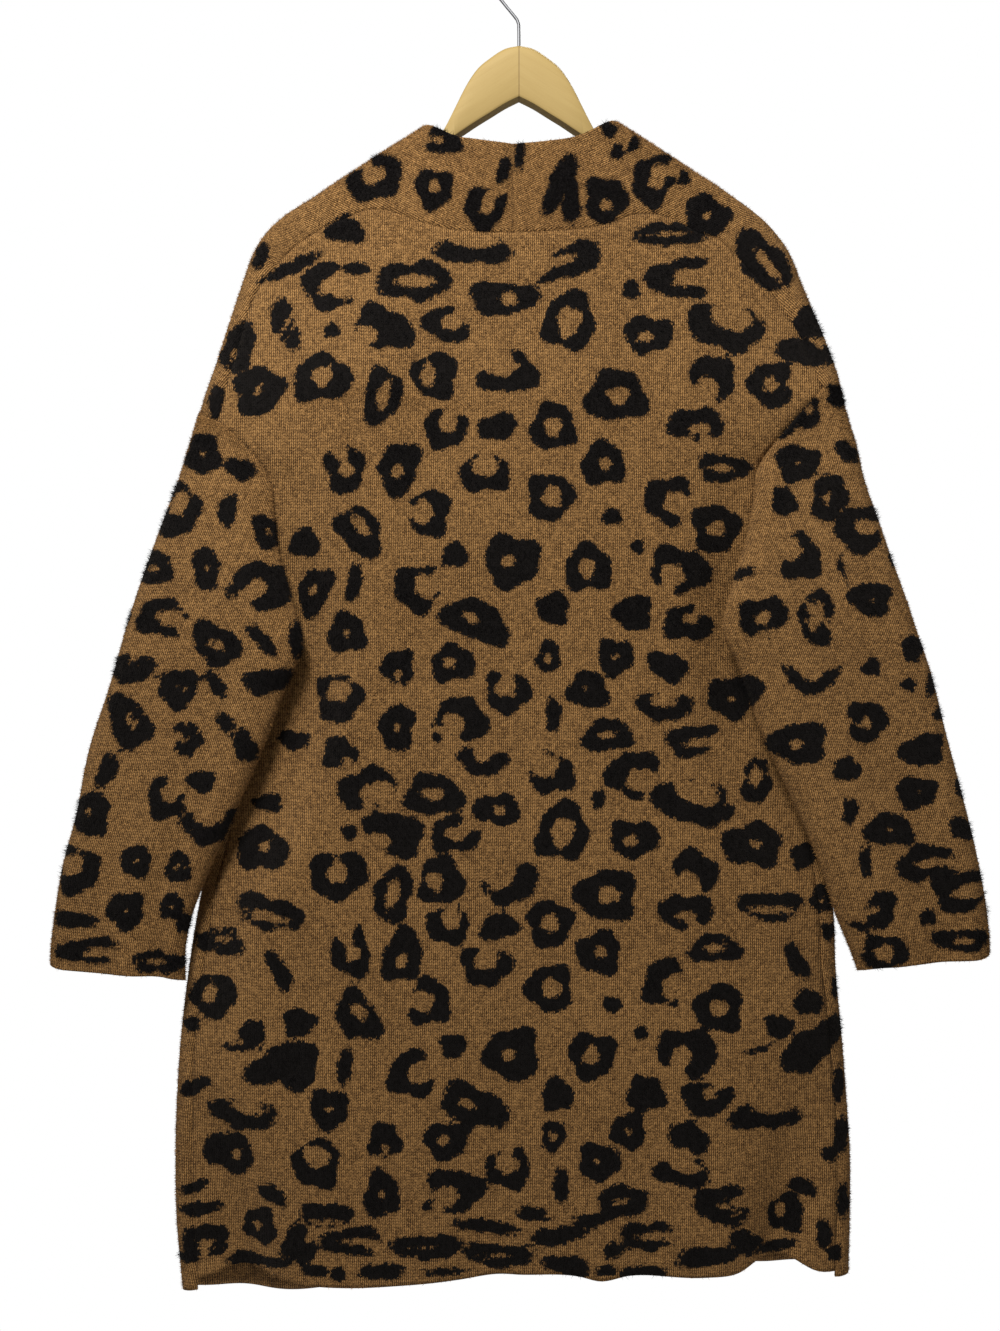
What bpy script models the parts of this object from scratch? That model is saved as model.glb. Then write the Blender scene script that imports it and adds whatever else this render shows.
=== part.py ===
"""Open-front cardigan in thick knit, hung on a wooden hanger.

Five cloth pieces are cut and sewn: a back, two fronts that each carry half of the
collar, and two sleeves. The fronts wrap over the hanger and round the sides, so the
shoulder, neck and side seams all lie on the back.

Metres, +Z up. The garment's front faces -Y and its left side is +X. The origin is
inside the top of the hook, where it rests on a rail. Tables are in millimetres:
"drop" is measured down from the rail, "out" sideways from the centre line and
"depth" from the hanger's plane, positive to the back.
"""

import math

import bmesh
import bpy
import numpy as np

MM = 0.001
WALL = 2.4
HALF_GAP = 0.25
TOP_GAP = 2.4

CENTRE_BACK = 5.5
FOLD_REACH = 14.0
FOLD_ARC = 22.0
FOLD_FADE = 40.0
FOLD_THICK = 14.0
ROLL_REACH = 25.0
OUTER_REACH = 14.7
UNDERARM_GAP_TURN = math.radians(2.0)
UNDER_ROLL = 3.7

HANGER_BEND = 12.0
HANGER_SPAN = 220.0


def table(columns, rows):
    """Named columns of numbers, one row for each height or station."""
    return dict(zip(columns.split(), np.array(rows, float).T))


SHOULDER_LINE = {
    "left": table(
        "out drop",
        [(0, 95), (70, 139), (140, 182.5), (185, 211), (205, 223.5), (221, 237), (231, 252),
         (239, 272.5), (247, 296), (255, 321), (263, 347), (271, 372), (279, 398), (288, 427),
         (299, 460)],
    ),
    "right": table(
        "out drop",
        [(0, 90), (70, 133.5), (140, 177.5), (181, 203), (205, 218), (221, 231), (233, 247.5),
         (242, 268), (253, 295.5), (264, 321), (273, 346.5), (281, 371), (286, 392), (293, 425),
         (302, 460)],
    ),
}
SLEEVE = {
    "left": table(
        "drop outer inner depth",
        [(390, 276, 264, 0), (425, 287, 245, 5), (460, 297, 217, 11), (494, 309, 214, 15),
         (529, 321, 205, 19), (572, 335, 196, 22), (603, 344, 189, 23), (638, 354, 203, 23),
         (693, 372, 224, 22), (752, 384, 251, 21), (797, 396, 272, 20), (839, 403, 288, 19),
         (861, 406, 292, 18), (890, 407, 292, 18)],
    ),
    "right": table(
        "drop outer inner depth",
        [(375, 280, 268, 0), (398, 286, 258, 3), (426, 294, 228, 6), (460, 301, 210, 11),
         (494, 312, 202, 15), (523, 321, 193, 19), (564, 335, 182, 22), (589, 343, 178, 23),
         (621, 354, 191, 23), (683, 370, 213, 22), (739, 385, 240, 21), (793, 398, 264, 20),
         (832, 405, 277, 19), (860, 408, 289, 18), (882, 408, 297, 18)],
    ),
}
ARMHOLE = {
    "left": table(
        "drop seam back_turn front_turn",
        [(407, 264, 92, 90), (418, 251, 105, 92), (437, 232, 132, 94), (460, 218, 172, 96),
         (485, 215, 186, 97), (515, 214, 203, 98), (545, 212, 228, 99), (572, 211, 246, 100)],
    ),
    "right": table(
        "drop seam back_turn front_turn",
        [(378, 266, 92, 90), (396, 250, 105, 92), (420, 229, 132, 94), (445, 211, 172, 96),
         (475, 206, 186, 97), (505, 202, 203, 98), (535, 199, 228, 99), (564, 197, 246, 100)],
    ),
}
SIDE_FOLD = {
    "left": table(
        "drop out seam_in",
        [(572, 217, 6), (600, 226, 8), (640, 238, 10), (685, 250, 12), (735, 262, 13),
         (790, 274, 13), (845, 284, 13), (900, 292, 13), (957, 298, 13), (1010, 301, 15),
         (1060, 302, 15), (1110, 301, 16), (1156, 297, 15), (1180, 295, 15)],
    ),
    "right": table(
        "drop out seam_in",
        [(564, 203, 6), (592, 219, 8), (632, 238, 10), (677, 250, 12), (727, 262, 13),
         (782, 271, 13), (837, 277, 13), (892, 279, 13), (949, 284, 12), (1004, 288, 11),
         (1054, 291, 12), (1104, 291, 13), (1150, 290, 13), (1180, 289, 13)],
    ),
}
SHOULDER_SEAM = {
    "left": table(
        "out drop",
        [(264, 407), (252, 362), (241, 322), (229, 291), (211, 268), (198, 254), (172, 237),
         (150, 228), (134, 222), (114, 223), (99, 229), (82, 235), (58, 241), (31, 243),
         (CENTRE_BACK, 243.5)],
    ),
    "right": table(
        "out drop",
        [(266, 378), (253, 346), (239, 319), (225, 299), (205, 277), (180, 250), (159, 242),
         (141, 233), (126, 227), (105, 226), (86, 232), (68, 238), (45, 241), (20, 242.5),
         (-CENTRE_BACK, 243.5)],
    ),
}
# Where each row of a front above the armhole starts: on the front edge (layer -1), on
# the shoulder line (0) or on the collar's top edge at the back (1).
FRONT_EDGE = {
    "left": table(
        "out drop layer",
        [(31, 385, -1), (34, 358, -1), (37, 334, -1), (41, 312, -1), (45, 292, -1),
         (49, 274, -1), (53, 258, -1), (57, 242, -1), (61, 226, -1), (66, 206, -1),
         (73, 178, -1), (81, 151, 0), (60, 157, 1), (34, 163, 1), (CENTRE_BACK, 167, 1)],
    ),
    "right": table(
        "out drop layer",
        [(29, 372, -1), (32, 346, -1), (36, 323, -1), (40, 302, -1), (44, 283, -1),
         (49, 266, -1), (53, 250, -1), (58, 234, -1), (63, 218, -1), (69, 198, -1),
         (77, 172, -1), (84, 147, 0), (56, 157, 1), (27, 164, 1), (-CENTRE_BACK, 167, 1)],
    ),
}
BACK_HEM = {
    "left": table(
        "out drop",
        [(0, 1150), (17, 1149.5), (50, 1153), (98, 1157), (145, 1159), (185, 1157), (212, 1153),
         (237, 1146), (253, 1148), (269, 1155), (283, 1158)],
    ),
    "right": table(
        "out drop",
        [(0, 1150), (53, 1150), (70, 1154), (95, 1150), (162, 1150), (189, 1149), (219, 1138),
         (236, 1139), (261, 1150), (283, 1151)],
    ),
}
# Each front's hem: its drop at the front edge and at the side seam, and its sag between.
FRONT_HEM = {
    "left": {"edge": 1160, "seam": 1168, "sag": 15},
    "right": {"edge": 1150, "seam": 1156, "sag": 0},
}
EDGE_OUT = {
    "left": table("drop out", [(385, 31), (450, 27), (600, 24), (800, 26), (1000, 30), (1181, 34)]),
    "right": table("drop out", [(372, 29), (450, 25), (600, 22), (800, 23), (1000, 26), (1181, 29)]),
}

# Depth of each layer on the centre line and near the edge, and where it turns from the
# one to the other.
BACK_DEPTH = table(
    "drop centre edge turn_in turn_out",
    [(90, 17, 13, 10, 90), (150, 20, 12, 10, 100), (243, 20, 3, 40, 215), (320, 21, 7, 90, 245),
     (407, 22, 16, 130, 255), (460, 22, 15, 150, 205), (515, 22, 9, 145, 198),
     (572, 22, 5.5, 135, 190), (640, 22, 3, 135, 185), (735, 22, 3, 160, 215),
     (845, 22, 4, 215, 270), (900, 22, 6, 225, 285), (960, 22, 8, 230, 290),
     (1180, 24, 8, 230, 290)],
)
FRONT_DEPTH = table(
    "drop centre edge turn_in turn_out",
    [(90, -15, -14, 10, 90), (150, -17, -16, 10, 100), (243, -20, -26, 40, 215),
     (320, -22, -23, 90, 245), (407, -24, -15, 130, 255), (460, -25, -16, 130, 205),
     (515, -26, -18, 130, 198), (572, -27, -20, 130, 190), (640, -28, -22, 135, 200),
     (735, -29, -22, 160, 215), (845, -30, -22, 215, 270), (960, -31, -21, 230, 290),
     (1180, -33, -21, 230, 290)],
)
SHOULDER_DEPTH = table(
    "drop depth",
    [(90, 1), (150, 0), (200, -4), (240, -6), (280, -5), (330, -3), (397, 2), (460, 10)],
)
SIDE_DEPTH = table("drop depth", [(560, -3), (640, -9), (850, -8), (1000, -5), (1180, -6)])

# Soft vertical folds: where one starts and ends down the cloth, how far to the left of
# the centre line it lies there, half its width and how deep it goes.
BACK_FOLDS = table(
    "top bottom from_centre to_centre width deep",
    [(960, 1160, 262, 238, 27, -22), (900, 1160, 196, 178, 42, 4), (860, 1160, 92, 84, 46, 4),
     (930, 1160, 25, 20, 34, -4), (560, 1000, 120, 140, 40, 3), (900, 1160, -62, -66, 38, 4),
     (950, 1160, -108, -96, 26, -3), (880, 1160, -170, -156, 40, 4),
     (930, 1160, -250, -222, 27, -24), (560, 1000, -120, -135, 42, 3)],
)
FRONT_FOLDS = table(
    "top bottom from_centre to_centre width deep",
    [(420, 1180, 118, 92, 34, 7), (560, 1180, 168, 150, 30, -6), (760, 1180, 214, 205, 28, 6),
     (900, 1180, 262, 250, 24, -7), (300, 900, 66, 60, 26, -5), (440, 1180, -112, -100, 36, 7),
     (600, 1180, -160, -158, 28, -6), (780, 1180, -208, -214, 30, 6),
     (880, 1180, -256, -256, 22, -7), (320, 940, -64, -52, 26, -4)],
)
SLEEVE_FOLDS = table(
    "side face top bottom across_top across_bottom width deep",
    [(1, 1, 700, 886, 0.30, 0.20, 0.13, -8), (1, 1, 600, 780, 0.62, 0.44, 0.12, 3),
     (1, 1, 740, 886, 0.06, 0.34, 0.09, 3), (-1, 1, 580, 860, 0.58, 0.62, 0.12, -5),
     (-1, 1, 640, 878, 0.30, 0.28, 0.12, 4), (-1, 1, 600, 878, 0.84, 0.86, 0.10, 3),
     (1, -1, 600, 886, 0.55, 0.48, 0.14, 4), (-1, -1, 600, 878, 0.52, 0.50, 0.14, 4)],
)
SLEEVE_ROWS = {
    "left": (592, 618, 652, 692, 737, 782, 826, 860, 888),
    "right": (584, 610, 644, 684, 729, 774, 818, 852, 879),
}
SLEEVE_TOP_RISE = {"left": 10, "right": -3}
CUFF_TILT = 8.0
FRONT_LOWER = 10.0

SIDE_SIGN = {"left": 1, "right": -1}


def ramp(t):
    """0 to 1 with level ends."""
    t = np.clip(t, 0, 1)
    return t * t * (3 - 2 * t)


def smooth(rows, column, at, along="drop"):
    """A smooth curve through one column of a table, held level past its ends."""
    x, y = rows[along], rows[column]
    slope = np.gradient(y, x)
    at = np.clip(at, x[0], x[-1])
    k = np.clip(np.searchsorted(x, at) - 1, 0, len(x) - 2)
    step = x[k + 1] - x[k]
    t = (at - x[k]) / step
    start = (1 + 2 * t) * (1 - t) ** 2 * y[k] + t * (1 - t) ** 2 * step * slope[k]
    end = t * t * (3 - 2 * t) * y[k + 1] - t * t * (1 - t) * step * slope[k + 1]
    return start + end


def stations(rows, column, at):
    """A smooth curve through one column, read by row number."""
    numbered = {"row": np.arange(len(rows[column]), dtype=float), column: rows[column]}
    return smooth(numbered, column, at, along="row")


def folds(rows, x, drop):
    """How far a layer's soft folds move it at each place."""
    moved = np.zeros(np.shape(x))
    for top, bottom, start, end, width, deep in zip(*rows.values()):
        t = np.clip((drop - top) / (bottom - top), 0, 1)
        line = start + t * (end - start)
        moved = moved + ramp(t) * deep * np.exp(-(((x - line) / width) ** 2))
    return moved


def layer_depth(rows, fold_rows, x, drop):
    """Depth of the back or front layer before its edges turn."""
    centre, edge = smooth(rows, "centre", drop), smooth(rows, "edge", drop)
    start, end = smooth(rows, "turn_in", drop), smooth(rows, "turn_out", drop)
    sideways = ramp((np.abs(x) - start) / (end - start))
    return centre + (edge - centre) * sideways + folds(fold_rows, x, drop)


def fold_inset(arc):
    """In-plane distance from a fold for a distance measured round it along the cloth."""
    arc = np.abs(arc)
    round_part = FOLD_REACH * (1 - np.cos(np.pi / 2 * np.minimum(arc / FOLD_ARC, 1)))
    flat_part = arc + (FOLD_REACH - FOLD_ARC) * np.exp(-(arc - FOLD_ARC) / FOLD_FADE)
    return np.where(arc < FOLD_ARC, round_part, flat_part)


def fold_arc(inset):
    """The inverse of fold_inset."""
    arcs = np.linspace(0, 400, 1601)
    return np.interp(inset, fold_inset(arcs), arcs)


def cap(inset):
    """How far a layer has opened from its fold: 0 on the fold, 1 past the round part."""
    return np.sqrt(np.clip(1 - (1 - np.minimum(inset / FOLD_REACH, 1)) ** 2, 0, 1))


class Side:
    """One half of the garment, worked out from its tables. "out" is positive here."""

    def __init__(self, name):
        self.name = name
        self.sign = SIDE_SIGN[name]
        self.sleeve, self.armhole = SLEEVE[name], ARMHOLE[name]
        self.side_fold, self.shoulder_seam = SIDE_FOLD[name], SHOULDER_SEAM[name]
        self.top_of_arm = self.armhole["drop"][0]
        self.underarm = self.armhole["drop"][-1]
        line = SHOULDER_LINE[name]
        rows = np.linspace(0, len(line["out"]) - 1, 400)
        self.line = np.stack([stations(line, "out", rows), stations(line, "drop", rows)], -1)
        along = np.gradient(self.line, axis=0)
        self.along = along / np.linalg.norm(along, axis=1, keepdims=True)
        self.outward = np.stack([self.along[:, 1], -self.along[:, 0]], -1)

    def nearest(self, out, drop):
        """Foot on the shoulder line, its outward direction, and the signed distance."""
        at = np.stack([np.ravel(out), np.ravel(drop)], -1)
        gap = at[:, None, :] - self.line[None, :, :]
        k = (gap**2).sum(-1).argmin(1)
        gap = at - self.line[k]
        foot = self.line[k] + self.along[k] * (gap * self.along[k]).sum(-1, keepdims=True)
        distance = (gap * self.outward[k]).sum(-1)
        shape = np.shape(out)
        return foot.reshape(shape + (2,)), self.outward[k].reshape(shape + (2,)), distance.reshape(shape)

    def turn(self, drop, face):
        """Angle round a sleeve's inner fold at which its armhole or underarm edge lies."""
        if face > 0:
            past = ramp((drop - self.underarm) / 300)
            return np.radians(smooth(self.armhole, "back_turn", drop) - 40 * past)
        open_turn = np.radians(smooth(self.armhole, "front_turn", drop))
        closed_turn = 2 * np.pi - self.turn(drop, 1) - UNDERARM_GAP_TURN
        return open_turn + (closed_turn - open_turn) * ramp((drop - self.underarm) / 22)

    def roll_reach(self, drop):
        return ROLL_REACH - 9 * ramp((drop - self.underarm - 40) / 260)

    def inner_fold(self, drop):
        """Centre of the sleeve's inner fold, out from the centre line."""
        from_seam = smooth(self.armhole, "seam", drop) - ROLL_REACH * np.cos(self.turn(drop, 1))
        from_edge = smooth(self.sleeve, "inner", drop) + self.roll_reach(drop)
        return np.where(drop < self.underarm, from_seam, from_edge)

    def seam_out(self, drop, face):
        """How far out the armhole seam lies at the back (face 1) or the front (-1)."""
        return self.inner_fold(drop) + ROLL_REACH * np.cos(self.turn(drop, face))

    def seam_depth(self, drop, face):
        """Depth of the armhole seam at the back (face 1) or the front (-1)."""
        swell = np.sin(self.turn(drop, face))
        return smooth(self.sleeve, "depth", drop) + face * FOLD_THICK * swell

    def layer(self, out, drop, face):
        """Depth of the back (face 1) or front (-1) layer of body, shoulder and collar."""
        rows, fold_rows = (BACK_DEPTH, BACK_FOLDS) if face > 0 else (FRONT_DEPTH, FRONT_FOLDS)
        depth = layer_depth(rows, fold_rows, self.sign * out, drop)
        # both layers run to the armhole seam, in a valley beside the sleeve
        seam_drop = np.clip(drop, self.top_of_arm, self.underarm)
        span = (drop - self.top_of_arm) / (self.underarm - self.top_of_arm)
        seam_out = self.seam_out(seam_drop, face)
        unlifted = layer_depth(rows, fold_rows, self.sign * seam_out, seam_drop)
        lift = self.seam_depth(seam_drop, face) - unlifted
        if face > 0:
            lift = lift - UNDER_ROLL * ramp((span - 0.3) / 0.6)
        width = 34 - (12 if face > 0 else 25) * np.clip(span, 0, 1)
        near = np.exp(-((np.maximum(seam_out - out, 0) / width) ** 2))
        return depth + lift * near * ramp(1 + span / 0.12) * ramp((1.14 - span) / 0.14)

    def edge_depth(self, depth, out, drop):
        """The layer's depth with its edge turned in to the shoulder or side fold."""
        _, _, distance = self.nearest(out, drop)
        open_by = cap(np.maximum(-distance, 0))
        upper = smooth(SHOULDER_DEPTH, "depth", drop)
        near_top = ramp((self.top_of_arm + 60 - drop) / 40)
        depth = depth + (upper + (depth - upper) * open_by - depth) * near_top
        inset = np.maximum(smooth(self.side_fold, "out", drop) - out, 0)
        lower = smooth(SIDE_DEPTH, "depth", drop)
        near_side = ramp((drop - self.underarm + 4) / 12)
        return depth + (lower + (depth - lower) * cap(inset) - depth) * near_side

    def back(self, out, drop):
        return self.edge_depth(self.layer(out, drop, 1), out, drop)

    def front(self, out, drop):
        return self.edge_depth(self.layer(out, drop, -1), out, drop)

    def unfold(self, out, drop, layer):
        """Where a point of the finished shape lies in the flat cut piece."""
        foot, outward, distance = self.nearest(out, drop)
        flat = foot + outward * (layer * fold_arc(np.maximum(-distance, 0)))[..., None]
        return flat[..., 0], flat[..., 1]

    def fold_up(self, across, down):
        """The finished shape's point for a point of a front's flat cut piece."""
        foot, outward, distance = self.nearest(across, down)
        folded = foot - outward * fold_inset(distance)[..., None]
        top_part = ramp((self.top_of_arm + 75 - down) / 50)
        side = smooth(self.side_fold, "out", down)
        turned = side - fold_inset(across - side)
        side_part = ramp((down - self.underarm + 4) / 12)
        out = across + (folded[..., 0] - across) * top_part + (turned - across) * side_part
        drop = down + (folded[..., 1] - down) * top_part
        behind = np.where(down < (self.top_of_arm + self.underarm) / 2, distance > 0, across > side)
        depth = np.where(behind, self.back(out, drop), self.front(out, drop))
        return np.stack([out, depth, drop], -1)


SIDES = {name: Side(name) for name in SIDE_SIGN}


def placed(side, points):
    """Millimetres out, depth and drop to metres in the part's own frame."""
    return np.stack([side.sign * points[..., 0], points[..., 1], -points[..., 2]], -1) * MM


def inward(edge, inner):
    """Unit steps from an edge's points to the next ones in."""
    step = inner - edge
    return step / np.maximum(np.linalg.norm(step, axis=-1, keepdims=True), 1e-9)


def part_edges(edge, inner, other_edge, other_inner):
    """Draw two sewn edges apart, further where the pieces meet at an angle."""
    one, other = inward(edge, inner), inward(other_edge, other_inner)
    bend = np.arccos(np.clip(-(one * other).sum(-1, keepdims=True), -1, 1))
    by = (HALF_GAP + 1.1 * WALL * np.tan(np.minimum(bend, 2) / 2)) * MM
    edge += one * by
    other_edge += other * by


def hem_drop(out):
    left = smooth(BACK_HEM["left"], "drop", np.abs(out), along="out")
    right = smooth(BACK_HEM["right"], "drop", np.abs(out), along="out")
    return np.where(out > 0, left, right)


CORNER = 5


def back_edge(side):
    """The back's edge down one side: shoulder corner, armhole, side seam and hem."""
    shoulder, arm, fold = side.shoulder_seam, side.armhole, side.side_fold
    out = np.concatenate(
        [shoulder["out"][CORNER:0:-1], arm["seam"], (fold["out"] - fold["seam_in"])[1:-1]]
    )
    drop = np.concatenate([shoulder["drop"][CORNER:0:-1], arm["drop"], fold["drop"][1:-1]])
    drop[-1] = hem_drop(side.sign * out[-1])
    return {"out": out, "drop": drop}


def back_points():
    """Grid of the back's points: rows from neck to hem, columns from right to left."""
    edges = {name: back_edge(side) for name, side in SIDES.items()}
    reached = {
        name: (edge["drop"] - edge["drop"][0]) / np.ptp(edge["drop"]) for name, edge in edges.items()
    }
    shared = (reached["left"] + reached["right"]) / 2
    columns = []
    for name in ("right", "left"):
        side = SIDES[name]
        edge_out, edge_drop = edges[name]["out"], edges[name]["drop"]
        top_out, top_drop = side.shoulder_seam["out"][CORNER:], side.shoulder_seam["drop"][CORNER:]
        share = (side.sign * top_out - CENTRE_BACK) / (side.sign * edge_out[0] - CENTRE_BACK)
        smooth_edge = np.interp(edge_drop, [250, 560, 960, 1160], [200, 206, 285, 283])
        pulled = share[None, :] * (smooth_edge - smooth_edge[0] + edge_out[0])[:, None]
        pulled = pulled + (edge_out - smooth_edge + smooth_edge[0] - edge_out[0])[:, None] * share**6
        out = side.sign * (pulled + (1 - share) * side.sign * CENTRE_BACK)
        down = shared[:, None] + (reached[name] - shared)[:, None] * share
        drop = top_drop + (hem_drop(out[-1]) - top_drop) * down
        depth = side.back(side.sign * out, drop)
        half_points = np.stack([out, depth, -drop], -1) * MM
        columns.append(half_points if name == "right" else half_points[:, ::-1][:, 1:])
    return np.concatenate(columns, axis=1)


def side_seam(side):
    """The side seam's stations from the underarm down, on the back of the side fold."""
    fold = side.side_fold
    return fold["out"][1:-1] - fold["seam_in"][1:-1], fold["drop"][1:-1]


def spread(across, down, side, count):
    """Places along each row, closer together where the cloth turns over a fold."""
    even = np.linspace(0, 1, 81)
    a = across[0][:, None] + (across[1] - across[0])[:, None] * even
    d = down[0][:, None] + (down[1] - down[0])[:, None] * even
    _, _, distance = side.nearest(a, d)
    low = d > (side.top_of_arm + side.underarm) / 2
    distance = np.where(low, a - smooth(side.side_fold, "out", d), distance)
    weight = np.cumsum(1 + 1.6 * np.exp(-((distance / 20) ** 2)), axis=1)
    weight = (weight - weight[:, :1]) / (weight[:, -1:] - weight[:, :1])
    at = np.linspace(0, 1, count)
    return np.stack([np.interp(at, row, even) for row in weight])


def front_rows(side):
    """Inner and outer ends of a front's rows, from the hem up and round to centre back."""
    arm, seam, edge = side.armhole, side.shoulder_seam, FRONT_EDGE[side.name]
    seam_out, seam_drop = side_seam(side)
    seam_drop = np.append(seam_drop[:-1], FRONT_HEM[side.name]["seam"])[::-1]
    seam_out = seam_out[::-1]
    arm_drop = arm["drop"][::-1]
    top_drop = side.top_of_arm - SLEEVE_TOP_RISE[side.name]
    top_out = float(np.interp(top_drop, side.line[:, 1], side.line[:, 0]))
    out = np.concatenate([seam_out, side.seam_out(arm_drop, -1), [top_out], seam["out"]])
    # the armhole runs lower at the front than at the back, near the top of the arm
    low_arm_drop = arm_drop + FRONT_LOWER * ramp((side.top_of_arm + 60 - arm_drop) / 60)
    drop = np.concatenate([seam_drop, low_arm_drop, [top_drop], seam["drop"]])
    sides, arms = len(seam_out), len(arm_drop)
    fold_out = smooth(side.side_fold, "out", seam_drop)
    across, down = side.unfold(out, drop, np.where(np.arange(len(out)) < sides + arms, -1, 1))
    across[:sides] = fold_out + fold_arc(fold_out - seam_out)
    down[:sides] = seam_drop
    part = ramp((side.top_of_arm + 75 - arm_drop) / 50)
    arm_rows = slice(sides, sides + arms)
    across[arm_rows] = out[arm_rows] + (across[arm_rows] - out[arm_rows]) * part
    down[arm_rows] = low_arm_drop + (down[arm_rows] - low_arm_drop) * part
    across[sides + arms], down[sides + arms] = top_out, top_drop
    depth = np.concatenate(
        [side.back(seam_out, seam_drop), side.seam_depth(arm_drop, -1),
         [smooth(SHOULDER_DEPTH, "depth", top_drop)], side.back(seam["out"], seam["drop"])]
    )
    # the front edge, from the hem to centre back
    first = edge["drop"][0]
    low_drop = seam_drop + (first + 205 - 600) * ramp((1000 - seam_drop) / 400)
    low_drop[0] = FRONT_HEM[side.name]["edge"]
    arm_edge = np.linspace(low_drop[-1] - 14, first + 72, arms)
    low_drop = np.concatenate([low_drop, arm_edge, [first + 38]])
    in_out = np.concatenate([smooth(EDGE_OUT[side.name], "out", low_drop), edge["out"]])
    in_drop = np.concatenate([low_drop, edge["drop"]])
    in_layer = np.concatenate([np.full(len(low_drop), -1.0), edge["layer"]])
    in_across, in_down = side.unfold(in_out, in_drop, in_layer)
    in_across[: len(low_drop)], in_down[: len(low_drop)] = in_out[: len(low_drop)], low_drop
    return {
        "in_across": in_across, "in_down": in_down, "across": across, "down": down,
        "out": out, "depth": depth, "drop": drop,
    }


def front_points(side, columns):
    """Grid of a front's points: rows from the hem up and round to centre back."""
    rows = front_rows(side)
    across = rows["in_across"], rows["across"]
    down = rows["in_down"], rows["down"]
    t = spread(across, down, side, columns)
    flat_across = across[0][:, None] + (across[1] - across[0])[:, None] * t
    flat_down = down[0][:, None] + (down[1] - down[0])[:, None] * t
    flat_down[0] += FRONT_HEM[side.name]["sag"] * np.sin(np.pi * t[0])
    points = side.fold_up(flat_across, flat_down)
    seam = np.stack([rows["out"], rows["depth"], rows["drop"]], -1)
    miss = seam - points[:, -1]
    points = points + miss[:, None, :] * (t**8)[:, :, None]
    return placed(side, points)


def sleeve_section(side, drop):
    """Half round a sleeve from its back edge to the outer fold, then from its front edge."""
    centre = smooth(side.sleeve, "depth", drop)
    outer = smooth(side.sleeve, "outer", drop) - OUTER_REACH
    inner, reach = side.inner_fold(drop), side.roll_reach(drop)
    halves = []
    for face in (1, -1):
        roll = np.linspace(side.turn(drop, face), np.pi / 2, 50)
        nose = np.linspace(np.pi / 2, 0, 40)
        x = np.concatenate([inner + reach * np.cos(roll), outer + OUTER_REACH * np.cos(nose)])
        swell = np.concatenate([np.sin(roll), np.sin(nose)])
        flat = np.linspace(x[49], x[50], 42)[1:-1]
        x = np.concatenate([x[:50], flat, x[50:]])
        swell = np.concatenate([swell[:50], np.ones(40), swell[50:]])
        share = (x - (inner - reach)) / (outer + OUTER_REACH - inner + reach)
        y = centre + face * swell * FOLD_THICK
        kinds = SLEEVE_FOLDS
        for k in np.flatnonzero((kinds["side"] == side.sign) & (kinds["face"] == face)):
            t = np.clip((drop - kinds["top"][k]) / (kinds["bottom"][k] - kinds["top"][k]), 0, 1)
            line = kinds["across_top"][k] + t * (kinds["across_bottom"][k] - kinds["across_top"][k])
            shape = np.exp(-(((share - line) / kinds["width"][k]) ** 2))
            y = y + ramp(t) * face * kinds["deep"][k] * shape * np.maximum(swell, 0)
        weight = np.hypot(np.gradient(x), np.gradient(y)) * (1 + 1.2 * (swell < 0.999))
        halves.append((x, y, np.cumsum(weight) - weight[0]))
    return halves


def sleeve_points(side, columns, front):
    """Grid of a sleeve's points: rows from the armhole to the cuff, round from the back."""
    rows = np.concatenate([side.armhole["drop"], SLEEVE_ROWS[side.name]])
    rise = SLEEVE_TOP_RISE[side.name]
    at = np.linspace(0, 1, columns)
    points = []
    for drop in rows:
        top = ramp((side.top_of_arm + 60 - drop) / 60)
        here = drop - rise * top * at + CUFF_TILT * (1 - 2 * at) * ramp((drop - 640) / 240)
        shift = smooth(side.sleeve, "outer", here) - smooth(side.sleeve, "outer", drop)
        line = []
        for (x, y, weight), lower in zip(sleeve_section(side, drop), (0, FRONT_LOWER)):
            x = np.interp(weight[-1] * at, weight, x) + shift * at
            y = np.interp(weight[-1] * at, weight, y)
            line.append(np.stack([x, y, here + lower * top * (1 - at)], -1))
        points.append(np.concatenate([line[0], line[1][::-1][1:]]))
    points = placed(side, np.array(points))
    # the sleeve's top runs along the front piece's edge over the shoulder
    over = len(side_seam(side)[0]) + len(side.armhole["drop"]) - 1
    edge = front[over : over + 3, -1][::-1]
    share = np.linspace(0, 2, 2 * columns - 1)
    points[0] = np.stack([np.interp(share, np.arange(3), edge[:, k]) for k in range(3)], -1)
    return points


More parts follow.
